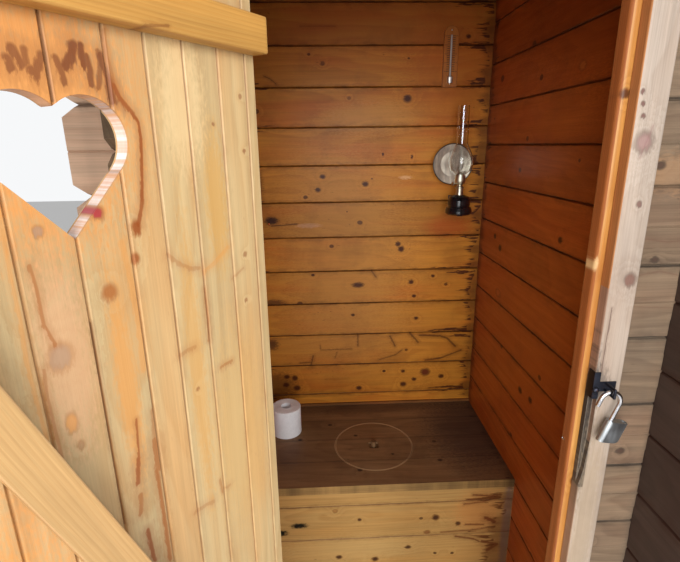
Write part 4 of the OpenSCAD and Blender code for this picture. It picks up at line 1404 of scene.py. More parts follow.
DOOR_MARKS = Marks(
    knots=knot_rows(
        (1505, -26, 7, 1.0, 0.95, CHERRY), (1597, -195, 2.5, 1.0, 0.7), (1563, -248, 3, 1.0, 0.7),
        (1495, 34, 5, 1.1, 0.7, GREY_KNOT), (1634, -247, 3, 1.0, 0.6), (1420, -236, 3.5, 1.0, 0.6),
        (1483, -68, 6, 1.4, 0.9, AMBER), (1449, -62, 5, 1.3, 0.9, AMBER), (1419, -26, 8, 1.1, 0.9, SCAR),
        (1367, 36, 12, 1.2, 0.55, GREY_KNOT), (1292, 37, 6, 1.8, 0.6, GOLD), (1253, -128, 3, 1.0, 0.6),
        (1351, -231, 3, 1.0, 0.6), (1262, 32, 4, 1.5, 0.4),
    ),
    strokes=(
        *stroke_rows(
            PURPLE_BROWN, (7, 0.75, (1644, 32), (1637, 30)), (7, 0.75, (1653, 27), (1642, 22)),
            (6, 0.7, (1653, 17), (1644, 18)), (7, 0.75, (1650, 3), (1639, 8), (1632, 11), (1637, 14)),
            (5.5, 0.75, (1650, -9), (1642, -12), (1631, -14)),
            (8.5, 0.85, (1644, -18), (1653, -24), (1663, -28)), (6, 0.85, (1664, -35), (1646, -35)),
            (5.5, 0.8, (1655, -39), (1643, -41), (1630, -40)),
            (5, 0.7, (1661, -52), (1644, -52), (1627, -47)),
            (7, 0.85, (1658, -54), (1636, -59), (1616, -61)),
        ),
        *stroke_rows(
            SCAR, (3, 0.6, (1682, -62), (1659, -61), (1641, -64), (1631, -64)),
            (4.2, 0.5, (1445, -105), (1432, -118), (1421, -136), (1418, -150)),
            (3, 0.4, (1390, -208), (1400, -230)),
            (2.8, 0.75, (1465, 47), (1441, 45), (1405, 45), (1381, 38)),
            (3, 0.6, (1360, 53), (1328, 55), (1293, 54), (1259, 53)),
            (3.5, 0.7, (1388, -156), (1344, -157), (1315, -155)),
            (5, 0.5, (1311, -106), (1314, -117), (1314, -130)),
            (3.8, 0.65, (1267, -172), (1268, -185), (1268, -193)),
            (5.5, 0.45, (1070, -102), (1068, -120), (1064, -133)), (4, 0.4, (1070, -152), (1069, -168)),
            (3, 0.5, (1091, -150), (1067, -153)),
        ),
        *stroke_rows(
            AMBER, (4.2, 0.85, (1631, -64), (1619, -69), (1610, -77), (1605, -82)),
            (3.2, 0.9, (1605, -82), (1596, -87), (1578, -88), (1551, -85), (1513, -80)),
            (4.2, 0.85, (1513, -80), (1499, -76), (1486, -71)),
            (2.4, 0.8, (1257, -34), (1230, -32), (1203, -30)), (5, 0.85, (1205, -29), (1175, -24)),
            (4.5, 0.85, (1100, -27), (1049, -30)),
        ),
        *stroke_rows(
            GOLD, (5, 0.45, (1411, -158), (1420, -178), (1436, -204)),
            (3.2, 0.5, (1520, 62), (1455, 64), (1416, 64), (1368, 66), (1333, 65), (1287, 63)),
            (6.5, 0.55, (1470, -48), (1427, -52), (1365, -55), (1315, -52)),
        ),
        *stroke_rows(
            RESIN, (5.5, 0.7, (1155, -25), (1131, -22)), (4, 0.5, (1258, -56), (1217, -54)),
            (6.5, 0.75, (1217, -54), (1173, -53)), (4.5, 0.8, (1174, -51), (1112, -52), (1030, -52)),
        ),
        *stroke_rows(
            DARK_LINE, (1.5, 0.95, (1392, -0.5), (1250, -0.5), (1130, -0.5)),
            (1.5, 0.85, (1700, -1), (1612, -1)),
        ),
    ),
    patches=patch_rows(
        (1600, 10, 160, 115, srgb(212, 142, 74), 0.85), (1480, 130, 220, 50, srgb(212, 160, 104), 0.45),
        (1360, 30, 130, 35, srgb(206, 158, 118), 0.6), (1500, -190, 120, 24, srgb(202, 152, 78), 0.6),
        (1300, -30, 160, 18, srgb(208, 140, 64), 0.6), (1020, 160, 280, 130, srgb(216, 146, 74), 0.7),
        (1140, -200, 220, 70, srgb(206, 166, 106), 0.5), (1280, -130, 260, 18, srgb(204, 150, 78), 0.5),
        (1620, -150, 100, 40, srgb(226, 196, 146), 0.6),
    ),
    zones=(
        Zone(srgb(186, 158, 122), srgb(150, 120, 88), high=(FAR, DOOR_Y0 + 0.0026, FAR), facing=TO_FRONT),
        HEART_CUT_PAINTED_SUNLIGHT,
        Zone(srgb(199, 172, 126), srgb(180, 139, 87), high=(FAR, DOOR_Y0 + 0.001, FAR), bare=True),
    ),
)
# Painted sunlight: the brace's upper side, whitish grey on its upper part
BRACE_PAINTED_SUNLIGHT = Marks(
    zones=(
        Zone(srgb(226, 220, 204), srgb(206, 196, 176), low=(-FAR, -FAR, 1.158), facing=TO_LEFT),
    ),
)
LEDGE_MARKS = Marks(
    strokes=(
        *stroke_rows(srgb(120, 70, 34), (2.2, 0.7, (-118, 1692.5), (-90, 1687.5))),
    ),
)
EDGE_PALE = srgb(206, 164, 98)
EDGE_DEEP = srgb(178, 126, 66)
BENCH_TOP_MARKS = Marks(
    knots=knot_rows((-264, 315, 6), (-153, 404, 6), (-60, 139, 6), (215, 173, 6)),
    patches=patch_rows(
        (360, 340, 200, 300, srgb(50, 38, 42), 0.65), (-200, 200, 250, 150, srgb(104, 74, 50), 0.4),
        (0, 520, 500, 50, srgb(46, 32, 28), 0.5),
    ),
    ends=(EndStain(SIDE_IN, -1.0, 0.03, 0.01),),
    zones=(Zone(EDGE_PALE, EDGE_DEEP, high=(FAR, BENCH_Y + 0.002, FAR), facing=TO_FRONT),),
    rings=(Ring((0.0, LID_Y), LID_R, LID_R + 0.0038, srgb(188, 154, 112), 0.8),),
)
LID_MARKS = Marks(
    knots=knot_rows((-60, 330, 5), (60, 215, 4)),
    rings=(
        Ring((0.0, LID_Y), LID_R - 0.0022, LID_R + 0.01, srgb(188, 154, 112), 0.7),
        Ring((0.0, LID_Y), 0.0, 0.020, srgb(120, 88, 58), 0.5),
    ),
)
BENCH_FRONT_MARKS = Marks(
    knots=knot_rows(
        (180, 405, 9.5, 1.1, 0.95), (255, 377, 7, 1.1, 0.9), (-146, 447, 7, 1.0, 0.6, srgb(150, 96, 44)),
        (-68, 409, 5), (154, 348, 7, 1.3, 0.7, srgb(120, 66, 30)), (-136, 262, 7, 1.3, 0.95),
        (-16, 247, 8, 1.2, 0.95), (-337, 290, 11, 1.0, 0.85, srgb(96, 44, 24)), (93, 290, 6, 1.5),
        (184, 260, 4), (242, 257, 4),
    ),
    strokes=(
        *stroke_rows(
            RED_BROWN, (4, 0.7, (270, 452), (330, 458), (372, 470)), (5, 0.8, (300, 487), (370, 478)),
            (3, 0.8, (280, 372), (340, 369)), (3, 0.7, (200, 345), (300, 348), (360, 356)),
            (10, 0.85, (345, 395), (375, 378)), (5, 0.75, (250, 325), (310, 312), (330, 300)),
            (9, 0.8, (340, 300), (390, 285), (360, 262)),
        ),
    ),
    patches=patch_rows(
        (-262, 395, 34, 13, TAR, 1.0), (-325, 369, 32, 15, TAR, 1.0), (415, 360, 20, 300, GREYED, 0.75),
        (320, 420, 100, 100, srgb(198, 132, 70), 0.55), (-100, 290, 280, 70, srgb(196, 164, 106), 0.5),
    ),
    ends=(EndStain(SIDE_IN, -1.0, 0.110, 0.045),),
)

WALL_X = Layout(Run.WALL_ACROSS, pitch=PLANK_H, start=BEARER_H, salt=1.3)
FRONT_X = Layout(Run.WALL_ACROSS, pitch=PLANK_H, start=BEARER_H, salt=7.1)
WALL_Y_LEFT = Layout(Run.WALL_DEEP, pitch=PLANK_H, start=BEARER_H + PLANK_H / 2, salt=3.7)
WALL_Y_RIGHT = Layout(Run.WALL_DEEP, pitch=PLANK_H, start=BEARER_H + PLANK_H / 2, salt=5.9)


@dataclass(frozen=True)
class Skin:
    """What one wooden piece wears."""

    finish: WoodFinish
    layout: Layout
    marks: Marks = Marks()


SKINS: dict[str, Skin] = {
    "bearers": Skin(BEARER, Layout(Run.FLAT_DEEP, salt=2.2)),
    "floor_boards": Skin(ROOF_BOARDS, Layout(Run.FLAT_ACROSS, pitch=FLOOR_BOARD, start=FRONT_IN, salt=8.8)),
    "back_wall": Skin(VARNISHED, WALL_X, BACK_MARKS),
    "left_wall": Skin(VARNISHED_SIDE, WALL_Y_LEFT, LEFT_MARKS),
    "right_wall": Skin(VARNISHED_SIDE, WALL_Y_RIGHT, RIGHT_MARKS),
    "front_wall_left": Skin(FRONT_PAINTED_SUNLIGHT, FRONT_X, FRONT_MARKS),
    "front_wall_right": Skin(FRONT_PLANKS, FRONT_X, FRONT_RIGHT_MARKS),
    "front_wall_over_door": Skin(FRONT_PLANKS, FRONT_X, FRONT_MARKS),
    "frame_post_left": Skin(FRAME, Layout(Run.UPRIGHT, salt=11.0, start=-0.30), POST_LEFT_MARKS),
    "frame_post_right": Skin(FRAME, Layout(Run.UPRIGHT, salt=12.0, start=0.30), POST_RIGHT_MARKS),
    "door_head": Skin(FRAME, Layout(Run.WALL_ACROSS, salt=13.0, start=1.87)),
    "threshold": Skin(FRAME, Layout(Run.WALL_ACROSS, salt=14.0, start=0.09)),
    "trim_left": Skin(TRIM, Layout(Run.UPRIGHT, salt=15.0, start=-0.32)),
    "trim_right": Skin(TRIM, Layout(Run.UPRIGHT, salt=16.0, start=0.32), TRIM_RIGHT_MARKS),
    "trim_head": Skin(TRIM, Layout(Run.WALL_ACROSS, salt=17.0, start=1.90)),
    "roof_boards": Skin(ROOF_BOARDS, Layout(Run.FLAT_ACROSS, pitch=0.0936, start=-0.74, salt=18.0)),
    "front_fascia": Skin(TRIM, Layout(Run.WALL_ACROSS, salt=19.0, start=2.22)),
    "back_fascia": Skin(TRIM, Layout(Run.WALL_ACROSS, salt=20.0, start=1.95)),
    "barge_boards": Skin(TRIM, Layout(Run.WALL_DEEP, salt=21.0, start=2.1)),
    "door_boards": Skin(DOOR_BOARDS, Layout(Run.UPRIGHT, joints=DOOR_JOINTS, on_door=True, salt=22.0),
                        DOOR_MARKS),
    "door_ledges": Skin(LEDGES, Layout(Run.WALL_ACROSS, on_door=True, salt=23.0), LEDGE_MARKS),
    "door_brace": Skin(BRACE, Layout(Run.UPRIGHT, on_door=True, lean=math.radians(20.6), salt=24.0),
                       BRACE_PAINTED_SUNLIGHT),
    "door_pull": Skin(TRIM, Layout(Run.UPRIGHT, on_door=True, salt=25.0)),
    "bench_top": Skin(BENCH_TOP, Layout(Run.FLAT_ACROSS, pitch=BENCH_BOARD, start=BENCH_Y, salt=26.0),
                      BENCH_TOP_MARKS),
    "bench_front": Skin(BENCH_FRONT, Layout(Run.WALL_ACROSS, pitch=PLANK_H, start=0.205, salt=27.0),
                        BENCH_FRONT_MARKS),
    "bench_cleats": Skin(BENCH_FRONT, Layout(Run.WALL_DEEP, salt=28.0, start=0.49)),
    "bench_lath": Skin(LATH, Layout(Run.WALL_ACROSS, salt=29.0, start=0.545)),
    "bench_lid": Skin(BENCH_TOP, Layout(Run.FLAT_ACROSS, pitch=BENCH_BOARD, start=BENCH_Y, salt=30.0),
                      LID_MARKS),
    "lid_knob": Skin(BENCH_TOP, Layout(Run.UPRIGHT, salt=31.0)),
    "thermometer_board": Skin(THERMO_WOOD, Layout(Run.UPRIGHT, salt=32.0, start=0.283)),
}

METALS: dict[str, MetalFinish] = {
    "dark_steel": MetalFinish(srgb(58, 60, 70), 0.42, rust=0.4),
    "bright_steel": MetalFinish(srgb(214, 214, 218), 0.16, rust=0.04),
    "lock_steel": MetalFinish(srgb(196, 202, 206), 0.42, rust=0.1, streaks=0.2),
    "nickel": MetalFinish(srgb(206, 204, 184), 0.36, rust=0.12, rust_tone=srgb(96, 88, 66)),
    "mirror": MetalFinish(srgb(236, 226, 208), 0.5, rust=0.06, rust_tone=srgb(176, 156, 130), streaks=0.2),
    "reflector_rim": MetalFinish(srgb(96, 90, 82), 0.3, rust=0.25, rust_tone=srgb(60, 48, 36)),
    "nail_steel": MetalFinish(srgb(96, 88, 82), 0.5, rust=0.7),
    "copper_nail": MetalFinish(srgb(206, 116, 70), 0.22, rust=0.2),
    "zinc": MetalFinish(srgb(168, 172, 174), 0.45, rust=0.25),
    "bulb_guard": MetalFinish(srgb(244, 242, 238), 0.4, rust=0.02),
}
OTHERS: dict[str, PlainFinish | GlassFinish] = {
    "black_enamel": PlainFinish(srgb(12, 12, 14), srgb(26, 26, 30), 0.18, 0.6, 40.0),
    "paper": PlainFinish(srgb(244, 245, 246), srgb(228, 229, 230), 0.9, 0.0, 260.0, bump=0.35, depth=0.0006),
    # The core's dark grey is painted shade in the roll's hole, darker than bare cardboard
    "cardboard": PlainFinish(srgb(74, 68, 64), srgb(50, 46, 44), 0.85, 0.0, 200.0),
    "felt": PlainFinish(srgb(46, 50, 50), srgb(78, 82, 80), 0.9, 0.0, 420.0, 0.4, 0.6, 0.001),
    "lamp_glass": GlassFinish(),
    "scale_ink": PlainFinish(srgb(44, 20, 8), srgb(60, 30, 14), 0.6, 0.0, 200.0),
    "cotton": PlainFinish(srgb(206, 198, 182), srgb(120, 108, 92), 0.9, 0.0, 900.0, bump=0.5),
    "spirit": PlainFinish(srgb(210, 206, 200), srgb(186, 178, 170), 0.2, 0.5, 90.0),
}
METAL_NODES = {
    "door_hinge_leaves": "dark_steel", "frame_hinge_leaves": "dark_steel", "hasp_strap": "dark_steel",
    "hasp_staple": "dark_steel", "lamp_bracket": "dark_steel", "padlock_shackle": "bright_steel",
    "padlock_body": "lock_steel", "lamp_burner": "nickel", "lamp_reflector": "mirror",
}
OTHER_NODES = {
    "lamp_reservoir": "black_enamel", "lamp_chimney": "lamp_glass", "roofing_felt": "felt",
    "thermometer_tube": "spirit",
}


@dataclass
class Studio:
    """The pale floor, the soft lights and the camera at the photograph's viewing angle."""

    stand: Point = (-0.1701, -1.1680, 1.5691)
    yaw: float = 0.0400
    pitch: float = 0.2818
    roll: float = -0.0130
    lens: float = 24.79

    def build(self) -> None:
        """Set up the stage, the lights and the camera."""
        self._camera()
        self._floor()
        self._world()
        self._lamp("key", (2.5, -4.0, 2.6), (-0.1, -0.3, 1.1), 1.6, 100.0)
        self._lamp("fill", (-0.5, -3.6, 1.9), (0.05, 0.3, 1.1), 2.0, 95.0)
        self._lamp("rim", (1.5, 3.6, 3.2), (0.0, 0.0, 1.0), 2.4, 80.0)

    def _camera(self) -> None:
        """Place the camera from its measured angles."""
        flat = math.cos(self.pitch)
        ahead = Vector((math.sin(self.yaw) * flat, math.cos(self.yaw) * flat, -math.sin(self.pitch)))
        level = Vector((math.cos(self.yaw), -math.sin(self.yaw), 0.0))
        over = level.cross(ahead)
        right = level * math.cos(self.roll) + over * math.sin(self.roll)
        up = over * math.cos(self.roll) - level * math.sin(self.roll)
        data = bpy.data.cameras.new("camera")
        data.lens = self.lens
        data.sensor_width = 36.0
        data.sensor_fit = "HORIZONTAL"
        data.clip_start = 0.02
        eye = bpy.data.objects.new("camera", data)
        eye.matrix_world = Matrix((
            (right.x, up.x, -ahead.x, self.stand[0]),
            (right.y, up.y, -ahead.y, self.stand[1]),
            (right.z, up.z, -ahead.z, self.stand[2]),
            (0.0, 0.0, 0.0, 1.0),
        ))
        show(eye)
        bpy.context.scene.camera = eye

    def _floor(self) -> None:
        """Lay the plain pale floor."""
        mesh = bpy.data.meshes.new("studio_floor")
        mesh.from_pydata([(-14, -14, 0), (14, -14, 0), (14, 14, 0), (-14, 14, 0)], [], [(0, 1, 2, 3)])
        floor = bpy.data.objects.new("studio_floor", mesh)
        floor.location.z = -0.0006
        show(floor)
        skin, g, shader = new_skin("studio_floor")
        g.fill(shader, Base_Color=(0.80, 0.79, 0.77, 1.0), Roughness=0.9)
        mesh.materials.append(skin)

    def _world(self) -> None:
        """Light the scene from all round, with a near-white background for the camera."""
        world = bpy.data.worlds.new("studio")
        bpy.context.scene.world = world
        world.use_nodes = True
        world.node_tree.nodes.clear()
        g = Graph(world.node_tree)
        light = g.fill(g.add("ShaderNodeBackground"), Color=(0.97, 0.98, 1.0, 1.0), Strength=0.55)
        back = g.fill(g.add("ShaderNodeBackground"), Color=(0.93, 0.94, 0.95, 1.0), Strength=1.0)
        path = g.add("ShaderNodeLightPath")
        seen = g.math("MAXIMUM", path.outputs["Is Camera Ray"], path.outputs["Is Transmission Ray"])
        seen = g.math("MAXIMUM", seen, path.outputs["Is Glossy Ray"])
        both = g.add("ShaderNodeMixShader")
        g.put(both.inputs[0], seen)
        g.put(both.inputs[1], light.outputs[0])
        g.put(both.inputs[2], back.outputs[0])
        g.put(g.add("ShaderNodeOutputWorld").inputs["Surface"], both.outputs[0])

    def _lamp(self, name: str, place: Point, aim: Point, size: float, power: float) -> None:
        """Hang one soft square lamp.

        Args:
            name: its name.
            place: where it hangs.
            aim: what it points at.
            size: its side in metres.
            power: its power in watts.
        """
        data = bpy.data.lights.new(name, "AREA")
        data.size = size
        data.energy = power
        lamp = bpy.data.objects.new(name, data)
        lamp.location = place
        lamp.rotation_euler = (Vector(aim) - Vector(place)).to_track_quat("-Z", "Y").to_euler()
        show(lamp)


@dataclass
class Solids:
    """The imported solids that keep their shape: each gets its finish."""

    nodes: dict[str, Thing]
    finishes: Finishes

    def build(self) -> None:
        """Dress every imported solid."""
        fin = self.finishes
        made = {name: skin.finish.material("skin_" + name, skin.layout, skin.marks, fin.effects)
                for name, skin in SKINS.items()}
        made |= {name: fin.metal(metal) for name, metal in METAL_NODES.items()}
        made |= {name: fin.other(other) for name, other in OTHER_NODES.items()}
        for name, skin in made.items():
            dress(self.nodes[name], skin)
            log.info("dressed %s", name)


def seat(place: Vector | Point, way: Vector | Point) -> Matrix:
    """Give the frame of a small part that stands on a surface: its origin there and its Z out of it."""
    return Matrix.Translation(Vector(place)) @ Vector(way).to_track_quat("Z", "Y").to_matrix().to_4x4()


def door_to_rest() -> Matrix:
    """Give the turn that takes a place on the closed door to the open door at rest."""
    pin = Vector((*DOOR_PIN, 0.0))
    return Matrix.Translation(pin) @ Matrix.Rotation(-DOOR_OPEN, 4, "Z") @ Matrix.Translation(-pin)


class Form:
    """Gathers the mesh of one piece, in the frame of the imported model."""

    def __init__(self) -> None:
        """Start an empty mesh."""
        self.mesh = bmesh.new()

    def _ring(self, place: Matrix, radius: float, height: float, sides: int) -> list[bmesh.types.BMVert]:
        """Add one ring of a turned shape, or a single point where its radius is nought."""
        if radius < 1e-7:
            return [self.mesh.verts.new(place @ Vector((0.0, 0.0, height)))]
        angles = [2 * math.pi * k / sides for k in range(sides)]
        return [self.mesh.verts.new(place @ Vector((radius * math.cos(a), radius * math.sin(a), height)))
                for a in angles]

    def band(self, low: list[bmesh.types.BMVert], high: list[bmesh.types.BMVert], skin: int = 0) -> None:
        """Join two rings, or a ring and a point, with faces."""
        count = max(len(low), len(high))
        for k in range(count):
            after = (k + 1) % count
            corners = (low[k % len(low)], low[after % len(low)], high[after % len(high)],
                       high[k % len(high)])
            face = self.mesh.faces.new(list(dict.fromkeys(corners)))
            face.material_index = skin
            face.smooth = True

    def turned(self, profile: Sequence[Spot], place: Matrix, sides: int = 32, skin: int = 0,
               closed: bool = False) -> None:
        """Turn a profile of radii and heights about the Z axis of a frame.

        Args:
            profile: the profile's points, from a radius of nought to a radius of nought unless it is closed.
            place: the frame.
            sides: number of sides round.
            skin: number of the material slot.
            closed: join the last ring to the first one.
        """
        rings = [self._ring(place, radius, height, sides) for radius, height in profile]
        for low, high in zip(rings, rings[1:]):
            self.band(low, high, skin)
        if closed:
            self.band(rings[-1], rings[0], skin)

    def hoop(self, place: Matrix, radius: float, wire: float, sides: int = 64) -> None:
        """Add a ring of round wire that lies in the XY plane of a frame."""
        angles = [2 * math.pi * k / 10 for k in range(10)]
        section = [(radius + wire * math.cos(a), wire * math.sin(a)) for a in angles]
        self.turned(section, place, sides, 0, True)

    def rod(self, points: Sequence[Vector], radius: float, sides: int = 10) -> None:
        """Sweep a round section along a line of points and close its ends.

        Args:
            points: the line's points.
            radius: radius of the section.
            sides: number of sides round.
        """
        rings = []
        for index, point in enumerate(points):
            ahead = points[min(index + 1, len(points) - 1)] - points[max(index - 1, 0)]
            rings.append(self._ring(seat(point, ahead), radius, 0.0, sides))
        for low, high in zip(rings, rings[1:]):
            self.band(low, high)
        for ring, point in ((rings[0], points[0]), (rings[-1], points[-1])):
            self.band([self.mesh.verts.new(point)], ring)

    def strip(self, rows: Sequence[Sequence[Vector | Point]]) -> None:
        """Join rows of four corners into a strip with closed ends."""
        corners = [[self.mesh.verts.new(spot) for spot in row] for row in rows]
        for low, high in zip(corners, corners[1:]):
            self.band(low, high)
        self.mesh.faces.new(corners[0])
        self.mesh.faces.new(corners[-1])

    def block(self, low: Point, high: Point, place: Matrix = Matrix(), soften: float = 0.0,
              skin: int = 0) -> None:
        """Add a block between two corners of a frame, with softened edges.

        Args:
            low: its lowest corner.
            high: its highest corner.
            place: the frame.
            soften: width of the softened edges.
            skin: number of the material slot.
        """
        size = Vector(high) - Vector(low)
        middle = (Vector(high) + Vector(low)) / 2
        box = place @ Matrix.Translation(middle) @ Matrix.Diagonal((*size, 1.0))
        made = bmesh.ops.create_cube(self.mesh, size=1.0, matrix=box)
        faces = {face for vert in made["verts"] for face in vert.link_faces}
        for face in faces:
            face.material_index = skin
        if soften:
            edges = {edge for face in faces for edge in face.edges}
            bmesh.ops.bevel(self.mesh, geom=list(edges), offset=soften, segments=2, affect="EDGES",
                            profile=0.5, material=-1)

    def finish(self, name: str, body: str, slot: str, *skins: Material) -> Thing:
        """Turn the mesh into a piece that rides on a body.

        Args:
            name: the piece's name.
            body: the body that it rides on.
            slot: the record's material slot; not used.
            skins: its materials, in the order of its slots.

        Returns:
            The piece.
        """
        bmesh.ops.recalc_face_normals(self.mesh, faces=self.mesh.faces)
        data = bpy.data.meshes.new(name)
        self.mesh.to_mesh(data)
        self.mesh.free()
        data.set_sharp_from_angle(angle=math.radians(40))
        thing = bpy.data.objects.new(name, data)
        show(thing)
        dress(thing, *skins)
        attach(thing, body)
        log.info("made %s", name)
        return thing


class Surfaces:
    """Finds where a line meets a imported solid, so that a small part sits right on it."""

    def __init__(self, nodes: dict[str, Thing]) -> None:
        """Keep the solids."""
        self.nodes = nodes
        self.trees: dict[str, BVHTree] = {}

    def hit(self, name: str, start: Point | Vector, way: Point | Vector) -> tuple[Vector, Vector] | None:
        """Follow a line to a solid.

        Args:
            name: the solid's node.
            start: where the line starts.
            way: its direction.

        Returns:
            The place where it meets the solid and the normal there, or None where it passes by.
        """
        if name not in self.trees:
            mesh = self.nodes[name].data
            self.trees[name] = BVHTree.FromPolygons([v.co for v in mesh.vertices],
                                                    [tuple(p.vertices) for p in mesh.polygons])
        spot, normal, _, _ = self.trees[name].ray_cast(Vector(start), Vector(way))
        return None if spot is None else (spot, normal)


@dataclass
class Fixings:
    """The nails and screws, each with its head on the face that it holds."""

    finishes: Finishes
    surfaces: Surfaces
    nail_r: float = 0.0036
    nail_h: float = 0.0009
    screw_r: float = 0.0040
    clout_r: float = 0.0050
    sunk: float = 0.3
    clout_in: Spot = (0.020, 0.018)
    clouts: int = 12
    clout_pitch: float = 0.1

    def build(self) -> None:
        """Drive all the nails and screws."""
        ahead, back, down = (0, 1, 0), (0, -1, 0), (0, 0, -1)
        fascia_x = [-0.51 + 0.34 * k for k in range(4)]
        board_y = [FRONT_IN + FLOOR_BOARD / 4 + FLOOR_BOARD * k for k in range(10)]
        on_right = [(0.319, -0.7, z) for z in (0.18, 0.56, 1.82)]
        on_left = [(-0.319, -0.7, z) for z in (0.18, 0.56, 1.26, 1.82)]
        on_head = [(x, -0.8, 1.905) for x in (-0.30, 0.0, 0.30)]
        in_front = [(x, -1.2, z) for x in fascia_x for z in (2.17, 2.21)]
        behind = [(x, 1.4, z) for x in fascia_x for z in (1.95, 1.99)]
        on_floor = [(x, y, 0.5) for y in board_y for x in (-0.39, 0.0, 0.39)]
        on_roof = [(x, y, 2.6) for x, y in self._roof_edge()]
        self._row("trim_nails_right", "trim_right", on_right, ahead)
        self._row("trim_nails_left", "trim_left", on_left, ahead)
        self._row("trim_nails_head", "trim_head", on_head, ahead)
        self._row("fascia_nails_front", "front_fascia", in_front, ahead)
        self._row("fascia_nails_back", "back_fascia", behind, back)
        self._row("floor_nails", "floor_boards", on_floor, down)
        self._row("felt_clouts", "roofing_felt", on_roof, down, self.clout_r, "zinc")
        joints = (-0.277, *DOOR_JOINTS, 0.276)
        middles = [(a + b) / 2 for a, b in zip(joints, joints[1:])]
        swung = door_to_rest()
        starts = [swung @ Vector((x, -0.6, z)) for x in middles for z in (0.3510, 0.3740, 1.6980, 1.7210)]
        self._row("door_nails", "door_boards", starts, swung.to_3x3() @ Vector(ahead), body="door")
        self._screws()

    def _roof_edge(self) -> list[Spot]:
        """Give the places of the clouts along the roof's edges."""
        low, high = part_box("roofing_felt")
        left, right = low[0] + self.clout_in[0], high[0] - self.clout_in[0]
        front, back = low[1] + self.clout_in[1], high[1] - self.clout_in[1]
        spots = [(left + (right - left) * k / self.clouts, y)
                 for k in range(self.clouts + 1) for y in (front, back)]
        count = int((high[1] - low[1]) / self.clout_pitch)
        spots += [(x, front + (back - front) * k / count) for k in range(1, count) for x in (left, right)]
        return spots

    def _row(self, name: str, node: str, starts: Iterable[Vector | Point], way: Vector | Point,
             radius: float = 0.0, metal: str = "nail_steel", body: str = "cabin") -> None:
        """Drive nails along lines that end on one solid.

        Args:
            name: the piece's name.
            node: the solid that they go into.
            starts: where each nail's line starts.
            way: the lines' direction.
            radius: radius of the heads, if not the usual one.
            metal: the metal's name.
            body: the body that they ride on.
        """
        form = Form()
        r, h = radius or self.nail_r, self.nail_h
        head = [(0, h), (r * 0.5, h * 0.92), (r * 0.85, h * 0.6), (r, h * 0.1), (r, -h), (0, -h)]
        for start in starts:
            found = self.surfaces.hit(node, start, way)
            if found:
                form.turned(head, seat(*found), 12)
        form.finish(name, body, "dark_steel", self.finishes.metal(metal))

    def _screws(self) -> None:
        """Drive the hinge screws, the hasp's screws and the bright screws in the door frame."""
        swung = door_to_rest()
        turn = swung.to_3x3()
        levels = [middle + step for middle in HINGE_Z for step in (-0.028, 0.0, 0.028)]
        on_door = [swung @ Vector((-0.36, DOOR_PIN[1] + 0.0155, z)) for z in levels]
        on_frame = [(-0.20, DOOR_PIN[1] + 0.020, z) for z in levels]
        on_hasp = [swung @ Vector((x, -0.6, 1.162)) for x in (0.232, 0.249)]
        on_post = [(0.0, -0.412, z) for z in (1.028, 0.35)]
        self._screw_set("door_hinge_screws", "door", "door_hinge_leaves", on_door,
                        turn @ Vector((1, 0, 0)), self.sunk)
        self._screw_set("frame_hinge_screws", "cabin", "frame_hinge_leaves", on_frame, (-1, 0, 0), self.sunk)
        self._screw_set("hasp_screws", "door", "hasp_strap", on_hasp, turn @ Vector((0, 1, 0)))
        self._screw_set("frame_screws", "cabin", "frame_post_right", on_post, (1, 0, 0), 1.0, "bright_steel",
                        "bright_steel")

    def _screw_set(self, name: str, body: str, node: str, starts: Iterable[Vector | Point],
                   way: Vector | Point, proud: float = 1.0, slot: str = "dark_steel",
                   metal: str = "nail_steel") -> None:
        """Drive screws with crossed slots in their heads.

        Args:
            name: the piece's name.
            body: the body that they ride on.
            node: the solid that they go into.
            starts: where each screw's line starts.
            way: the lines' direction.
            proud: how far the heads stand out, as a share of a domed head.
            slot: the record's material slot.
            metal: the metal's name.
        """
        form = Form()
        r = self.screw_r
        head = [(r * 0.30, 0.0003), (r * 0.45, 0.0011), (r * 0.8, 0.0008), (r, 0.0001), (r, -0.0008),
                (r * 0.30, -0.0008)]
        for start in starts:
            found = self.surfaces.hit(node, start, way)
            if found:
                frame = seat(*found) @ Matrix.Diagonal((1.0, 1.0, proud, 1.0))
                form.turned(head, frame, 20, 0, True)
                for spin in (0.5, 0.5 + math.pi / 2):
                    arm = frame @ Matrix.Rotation(spin, 4, "Z")
                    form.block((-r * 0.42, -0.0004, -0.0006), (r * 0.42, 0.0004, 0.0004), arm)
        form.finish(name, body, slot, self.finishes.metal(metal))


